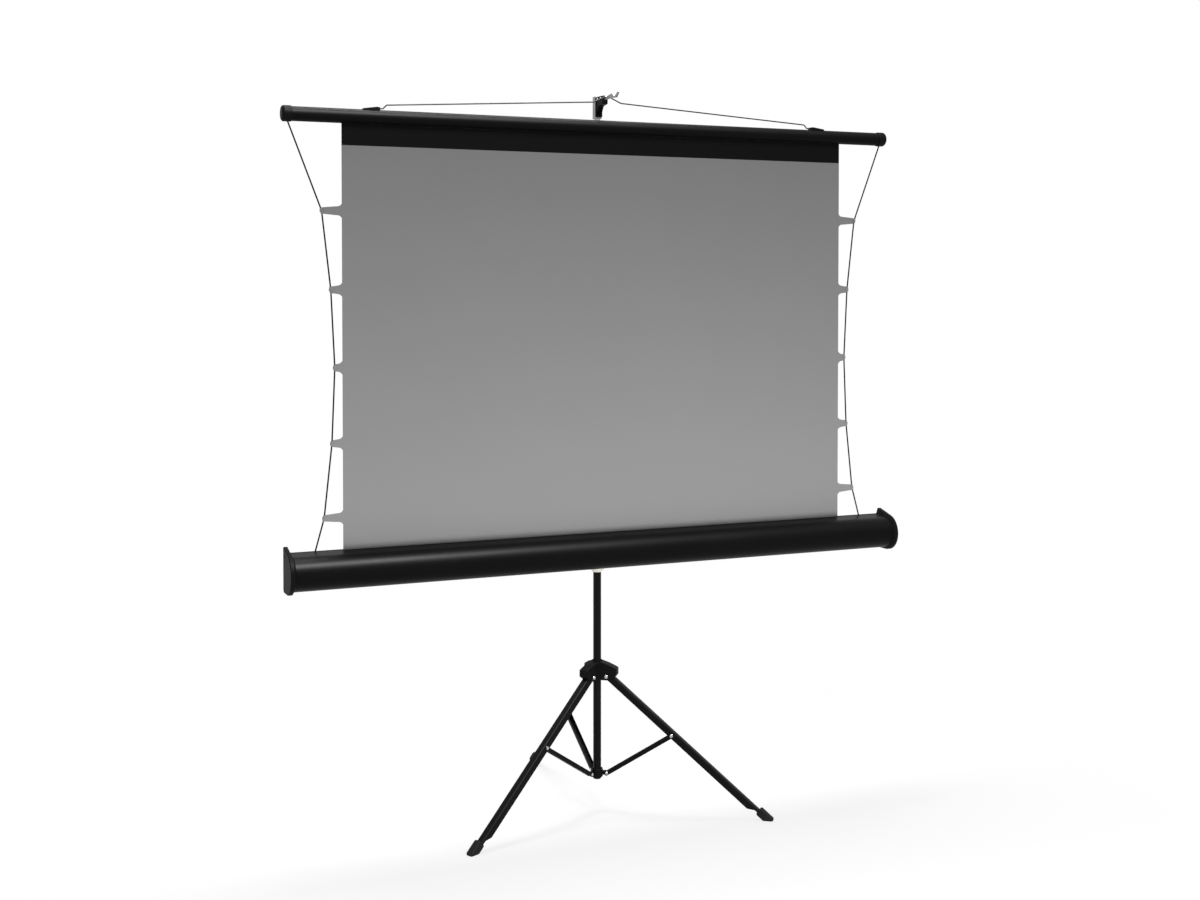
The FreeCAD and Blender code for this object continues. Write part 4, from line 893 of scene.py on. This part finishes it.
@dataclass
class Screen:
    """Grey sheet with its tabs, the black leader above it, and what is left on the roller."""

    travel: float = 911.0
    clearance: float = 0.5
    plane: float = -60.0
    thickness: float = 0.6
    half_width: float = 630.0
    tabs: Sequence[tuple[float, float]] = (
        (674.5, 1416.0), (655.0, 1244.0), (647.0, 1074.0), (654.0, 908.5), (672.0, 746.0),
    )
    leans: Sequence[float] = (13.77, 4.58, 0.14, -4.37, -10.9)
    tab_root: float = 15.5
    tab_neck: float = 10.8
    tab_tip: float = 6.5
    tab_flare: float = 8.0
    flare_power: float = 2.2
    tab_over: float = 4.5
    tab_steps: int = 26
    tab_bunching: float = 1.6
    tab_least: float = 0.02
    tab_levels: Sequence[float] = (-1.0, -0.4, 0.4, 1.0)
    columns: int = 60
    rows: int = 44
    sleeve_radius: float = 2.9
    sleeve_length: float = 13.0
    roll_turns: int = 6
    roll_steps: int = 64
    roll_wall_share: float = 0.6

    def half_height(self, along: float, length: float) -> float:
        """Half the height of a tab at a place along it.

        Args:
            along: distance from the sheet's edge.
            length: the tab's whole length.

        Returns:
            Half the tab's height there.
        """
        flare = max(0.0, 1.0 - along / self.tab_flare)
        taper = self.tab_neck + (self.tab_tip - self.tab_neck) * along / length
        swell = (self.tab_root - self.tab_neck) * flare ** self.flare_power
        left = length - along
        cap = 1.0
        if left < self.tab_tip:
            cap = math.sqrt(max(0.0, 1.0 - (1.0 - left / self.tab_tip) ** 2))
        return (taper + swell) * cap

    def tab_faces(self, sign: float, x: float, z: float,
                  points: list[Vector], faces: list[list[int]]) -> None:
        """Add one tab's flat strip to a mesh in the making.

        Args:
            sign: side of the screen.
            x: the cord's place beyond the middle.
            z: the tab's height.
            points: the mesh's points.
            faces: the mesh's faces.
        """
        length = x + self.tab_over - self.half_width
        start = len(points)
        for step in range(self.tab_steps + 1):
            along = length * (1.0 - (1.0 - step / self.tab_steps) ** self.tab_bunching)
            half = max(self.half_height(along, length), self.tab_least)
            for level in self.tab_levels:
                points.append(Vector((sign * (self.half_width + along), self.plane, z + level * half)) * MM)
        across = len(self.tab_levels)
        for step in range(self.tab_steps):
            for level in range(across - 1):
                low = start + across * step + level
                faces.append([low, low + 1, low + across + 1, low + across])

    def sheet_mesh(self, name: str, low: float, high: float, with_tabs: bool) -> Piece:
        """Make a flat cloth between two heights.

        Args:
            name: the piece's name.
            low: height of its lower edge in metres.
            high: height of its upper edge in metres.
            with_tabs: whether the side tabs belong to it.

        Returns:
            The cloth with its thickness.
        """
        points: list[Vector] = []
        faces: list[list[int]] = []
        half = self.half_width * MM
        for row in range(self.rows + 1):
            height = low + (high - low) * row / self.rows
            for column in range(self.columns + 1):
                points.append(Vector((half * (2.0 * column / self.columns - 1.0), self.plane * MM, height)))
        across = self.columns + 1
        for row in range(self.rows):
            for column in range(self.columns):
                corner = row * across + column
                faces.append([corner, corner + 1, corner + across + 1, corner + across])
        if with_tabs:
            for sign in (-1.0, 1.0):
                for x, z in self.tabs:
                    self.tab_faces(sign, x, z, points, faces)
        return MeshShop.thickened(MeshShop.from_faces(name, points, faces), self.thickness * MM)

    def shortened(self, piece: Piece) -> None:
        """Give a piece its own copy of its mesh.

        Args:
            piece: the cloth or cord.
        """
        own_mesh(piece)

    def build_sheet(self) -> Piece:
        """Make the grey sheet with its tabs and sleeves.

        Returns:
            The sheet.
        """
        low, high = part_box("screen_sheet")
        cloth = self.sheet_mesh("grey_screen", low.z, high.z, True)
        material = SCREEN_GREY.material()
        MeshShop.dressed(cloth, material)
        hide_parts("screen_sheet")
        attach(cloth, "case_unit")
        sleeves = self.build_sleeves(material)
        self.shortened(cloth)
        self.shortened(sleeves)
        return cloth

    def build_sleeves(self, material: Material) -> Piece:
        """Make the sewn sleeves at the tabs' tips.

        Args:
            material: the sheet's cloth.

        Returns:
            All sleeves as one piece.
        """
        places = [
            (sign, x, z, lean) for sign in (-1.0, 1.0) for (x, z), lean in zip(self.tabs, self.leans)
        ]
        mesh = bpy.data.meshes.new("tab_sleeves")
        mesh.from_pydata([(sign * x * MM, self.plane * MM, z * MM) for sign, x, z, lean in places], [], [])
        tilt = mesh.attributes.new("lean", "FLOAT", "POINT")
        for item, (sign, x, z, lean) in zip(tilt.data, places):
            item.value = sign * math.radians(lean)
        sleeves = MeshShop.linked("tab_sleeves", mesh)
        values = {
            "Radius": self.sleeve_radius * MM, "Length": self.sleeve_length * MM, "Material": material,
        }
        NodeShop.applied(sleeves, NodeShop.sleeve_tree(), values)
        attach(sleeves, "case_unit")
        return sleeves

    def build_leader(self) -> Piece:
        """Make the black leader between the sheet and the bar.

        Returns:
            The leader.
        """
        low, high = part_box("screen_leader")
        leader = self.sheet_mesh("black_leader", low.z, high.z, False)
        MeshShop.dressed(leader, LEADER_BLACK.material())
        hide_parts("screen_leader")
        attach(leader, "case_unit")
        self.shortened(leader)
        return leader

    def build_roll(self) -> Piece:
        """Make the turns left on the roller as one wound sheet.

        Returns:
            The wound sheet.
        """
        low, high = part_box("fabric_roll")
        centre = (low + high) / 2.0
        outer = (high.z - low.z) / 2.0 - self.thickness * MM / 2.0
        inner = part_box("roller_tube")[1].z - centre.z + self.thickness * MM
        count = self.roll_turns * self.roll_steps
        points = []
        length = 0.0
        for step in range(count + 1):
            angle = 2.0 * math.pi * step / self.roll_steps
            radius = inner + (outer - inner) * step / count
            length += 2.0 * math.pi * radius / self.roll_steps if step else 0.0
            y = centre.y + radius * math.cos(angle)
            z = centre.z + radius * math.sin(angle)
            points += [Vector((low.x, y, z)), Vector((high.x, y, z))]
        faces = [[2 * i, 2 * i + 1, 2 * i + 3, 2 * i + 2] for i in range(count)]
        spiral = MeshShop.from_faces("wound_screen", points, faces)
        roll = MeshShop.thickened(spiral, self.thickness * MM * self.roll_wall_share)
        MeshShop.dressed(roll, bpy.data.materials[SCREEN_GREY.name], True)
        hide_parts("fabric_roll")
        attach(roll, "roller")
        return roll

    def build(self) -> None:
        """Make every cloth of the screen and its side cords."""
        braid = CORD_BLACK.material()
        tube = NodeShop.tube_tree()
        for side, sign in (("left", -1.0), ("right", 1.0)):
            cord = TensionCord(side, sign).build(tube, braid)
            self.shortened(cord)
        for piece in (self.build_sheet(), self.build_leader(), self.build_roll()):
            LOG.info("cloth %s has %d faces", piece.name, len(piece.data.polygons))


@dataclass
class CaseUnit:
    """Case with its caps, roller and the carriage that holds it to the column."""

    painted: Sequence[str] = ("case_shell",)
    pressed: Sequence[str] = ("case_bracket",)
    moulded: Sequence[str] = ("case_end_left", "case_end_right", "carriage", "roller_plug_left",
                              "roller_plug_right", "case_lock_knob")
    plated: Sequence[str] = ("pivot_bolt", "case_end_screws", "idle_pin", "spring_arbor", "roller_tube",
                             "case_lock_screw", "roller_spring")
    riveted: Sequence[str] = ("bracket_rivets",)
    nylon: Sequence[str] = ("slide_bush", "pivot_washer")

    def build(self, moulding: Material, zinc: Material, rivets: Material,
              paint: Material) -> None:
        """Dress the case and its carriage.

        Args:
            moulding: the black plastic.
            zinc: the plated steel.
            rivets: the rivets' steel.
            paint: the legs' paint, which the bracket shares.
        """
        dress_nodes(CASE_PAINT.material(), self.painted)
        dress_nodes(paint, self.pressed)
        dress_nodes(moulding, self.moulded)
        dress_nodes(zinc, self.plated)
        dress_nodes(rivets, self.riveted)
        dress_nodes(NYLON.material(), self.nylon)


@dataclass
class Mast:
    """Telescopic mast with the hook, the top bar and its bail."""

    tubes: Sequence[str] = ("mast_lower_tube", "mast_upper_tube")
    moulded: Sequence[str] = ("mast_clamp", "mast_joint_ring", "hook_bracket", "bar_end_left",
                              "bar_end_right", "leader_rod", "bail_clips", "mast_lock_knob")
    plated: Sequence[str] = ("mast_head", "hook_arm", "mast_lock_screw")
    riveted: Sequence[str] = ("hook_rivets",)

    def build(self, moulding: Material, zinc: Material,
              rivets: Material) -> None:
        """Dress the mast, the hook and the bar.

        Args:
            moulding: the black plastic.
            zinc: the plated steel.
            rivets: the rivets' steel.
        """
        dress_nodes(MAST_ZINC.material(), self.tubes)
        dress_nodes(moulding, self.moulded)
        dress_nodes(zinc, self.plated)
        dress_nodes(rivets, self.riveted)
        dress_nodes(WIRE_STEEL.material(), ("bail_wire",))
        dress_nodes(BAR_PAINT.material(), ("top_bar",))


@dataclass
class LegLine:
    """Line of one opened leg: lengths along it from its pivot and heights square to it, in millimetres."""

    azimuth: float
    slope: float = 40.5
    pivot_reach: float = 24.0
    pivot_height: float = 321.888

    def point(self, along: float, across: float, height: float) -> Vector:
        """Find a place in the object's frame.

        Args:
            along: length down the leg from its pivot.
            across: distance to the leg's side.
            height: height square to the leg.

        Returns:
            The place in metres, never under the floor.
        """
        slope = math.radians(self.slope)
        turn = math.radians(self.azimuth)
        reach = self.pivot_reach + along * math.cos(slope) + height * math.sin(slope)
        up = self.pivot_height - along * math.sin(slope) + height * math.cos(slope)
        return MM * Vector((
            reach * math.cos(turn) - across * math.sin(turn),
            reach * math.sin(turn) + across * math.cos(turn),
            max(up, 0.0),
        ))

    def direction(self) -> Vector:
        """Unit vector down the leg."""
        return (self.point(1.0, 0.0, 0.0) - self.point(0.0, 0.0, 0.0)).normalized()

    def at_floor(self, height: float) -> float:
        """Length at which a line of this height meets the floor."""
        slope = math.radians(self.slope)
        return (self.pivot_height + height * math.cos(slope)) / math.sin(slope)


@dataclass
class ChannelLeg:
    """Leg whose neck lies closer to the boot than in the solids."""

    side: str
    line: LegLine
    stops: Sequence[tuple[float, float]] = (
        (300.0, 300.0), (415.0, 437.0), (451.0, 463.0), (465.0, 473.0), (483.0, 483.0),
    )

    def moved(self, along: float) -> float:
        """Shift a point of the neck.

        Args:
            along: the point's length along the leg in the solid.

        Returns:
            Its length along the dressed leg.
        """
        for (low, new_low), (high, new_high) in zip(self.stops, self.stops[1:]):
            if low <= along <= high:
                return new_low + (new_high - new_low) * (along - low) / (high - low)
        return along

    def build(self, material: Material) -> Piece:
        """Make the leg from its solid's mesh.

        Args:
            material: the paint.

        Returns:
            The leg, riding on its body.
        """
        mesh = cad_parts[f"leg_{self.side}"].data.copy()
        mesh.name = f"channel_leg_{self.side}"
        pivot = self.line.point(0.0, 0.0, 0.0)
        direction = self.line.direction()
        for vertex in mesh.vertices:
            along = (vertex.co - pivot).dot(direction) / MM
            vertex.co += direction * (self.moved(along) - along) * MM
        leg = MeshShop.linked(mesh.name, mesh)
        mesh.materials.clear()
        mesh.materials.append(material)
        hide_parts(f"leg_{self.side}")
        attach(leg, f"{self.side}_leg")
        return leg


@dataclass
class Boot:
    """Rubber boot on a leg's tongue, with a flat sole and a round toe."""

    side: str
    line: LegLine
    mouth: float = 471.0
    low: float = -1.5
    high: float = 18.0
    half_width: float = 10.2
    toe_round: float = 3.6
    edge_round: float = 3.6
    fullness: float = 5.5
    layers: int = 26
    corner_steps: int = 7

    def profile(self) -> list[Vector]:
        """Round the corners of the side outline.

        Returns:
            The outline's points, as lengths and heights.
        """
        corners = [
            (Vector((self.mouth, self.high)), self.edge_round),
            (Vector((self.line.at_floor(self.high), self.high)), self.toe_round),
            (Vector((self.line.at_floor(self.low), self.low)), self.edge_round),
            (Vector((self.mouth, self.low)), self.edge_round),
        ]
        points = []
        for index, (corner, radius) in enumerate(corners):
            back = (corners[index - 1][0] - corner).normalized()
            on = (corners[(index + 1) % len(corners)][0] - corner).normalized()
            half = back.angle(on) / 2.0
            centre = corner + (back + on).normalized() * radius / math.sin(half)
            first = corner + back * radius / math.tan(half) - centre
            last = corner + on * radius / math.tan(half) - centre
            for step in range(self.corner_steps + 1):
                spoke = first.slerp(last, step / self.corner_steps).normalized()
                points.append(centre + spoke * radius)
        return points

    def build(self, material: Material) -> Piece:
        """Make the boot in layers across its width.

        Args:
            material: the rubber.

        Returns:
            The boot, riding on its leg.
        """
        outline = self.profile()
        count = len(outline)
        middle = sum(outline, Vector((0.0, 0.0))) / count
        points = []
        for layer in range(self.layers + 1):
            side = math.sin(math.pi * (layer / self.layers - 0.5))
            scale = max(0.0, 1.0 - abs(side) ** self.fullness) ** (1.0 / self.fullness)
            for spot in outline:
                along, height = middle + (spot - middle) * scale
                points.append(self.line.point(along, side * self.half_width, height))
        faces = [
            [row + i, row + (i + 1) % count, row + count + (i + 1) % count, row + count + i]
            for row in range(0, self.layers * count, count) for i in range(count)
        ]
        boot = MeshShop.from_faces(f"rubber_boot_{self.side}", points, faces)
        MeshShop.dressed(boot, material, True)
        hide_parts(f"foot_{self.side}")
        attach(boot, f"{self.side}_leg")
        return boot


@dataclass
class Tripod:
    """Column with the folding legs, stays and feet."""

    sides: Sequence[tuple[str, float]] = (("left", 205.0), ("right", 325.0), ("rear", 91.0))

    def build(self, moulding: Material, rivets: Material,
              paint: Material) -> None:
        """Dress the column and stays, and make the legs and feet.

        Args:
            moulding: the black plastic.
            rivets: the rivets' steel.
            paint: the legs' paint.
        """
        dress_nodes(COLUMN_PAINT.material(), ("column_tube",))
        dress_nodes(moulding, ("column_plug", "stay_collar", "leg_hub"))
        dress_nodes(rivets, ("stay_pins", "leg_pivot_rivets"))
        rubber = FOOT_RUBBER.material()
        for side, azimuth in self.sides:
            line = LegLine(azimuth)
            dress_nodes(paint, (f"stay_{side}",))
            for piece in (ChannelLeg(side, line).build(paint), Boot(side, line).build(rubber)):
                LOG.info("made %s with %d faces", piece.name, len(piece.data.polygons))
            dress_nodes(rivets, (f"leg_rivet_{side}", f"stay_rivets_{side}"))


def main() -> None:
    """Build the studio, make the soft pieces and dress every node."""
    logging.basicConfig(level=logging.INFO, format="%(message)s")
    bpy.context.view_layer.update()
    Studio().build()
    moulding = BLACK_MOULDING.material()
    zinc = ZINC.material()
    rivets = RIVET_STEEL.material()
    paint = LEG_PAINT.material()
    Screen().build()
    CaseUnit().build(moulding, zinc, rivets, paint)
    Mast().build(moulding, zinc, rivets)
    Tripod().build(moulding, rivets, paint)


if __name__ == "__main__":
    main()
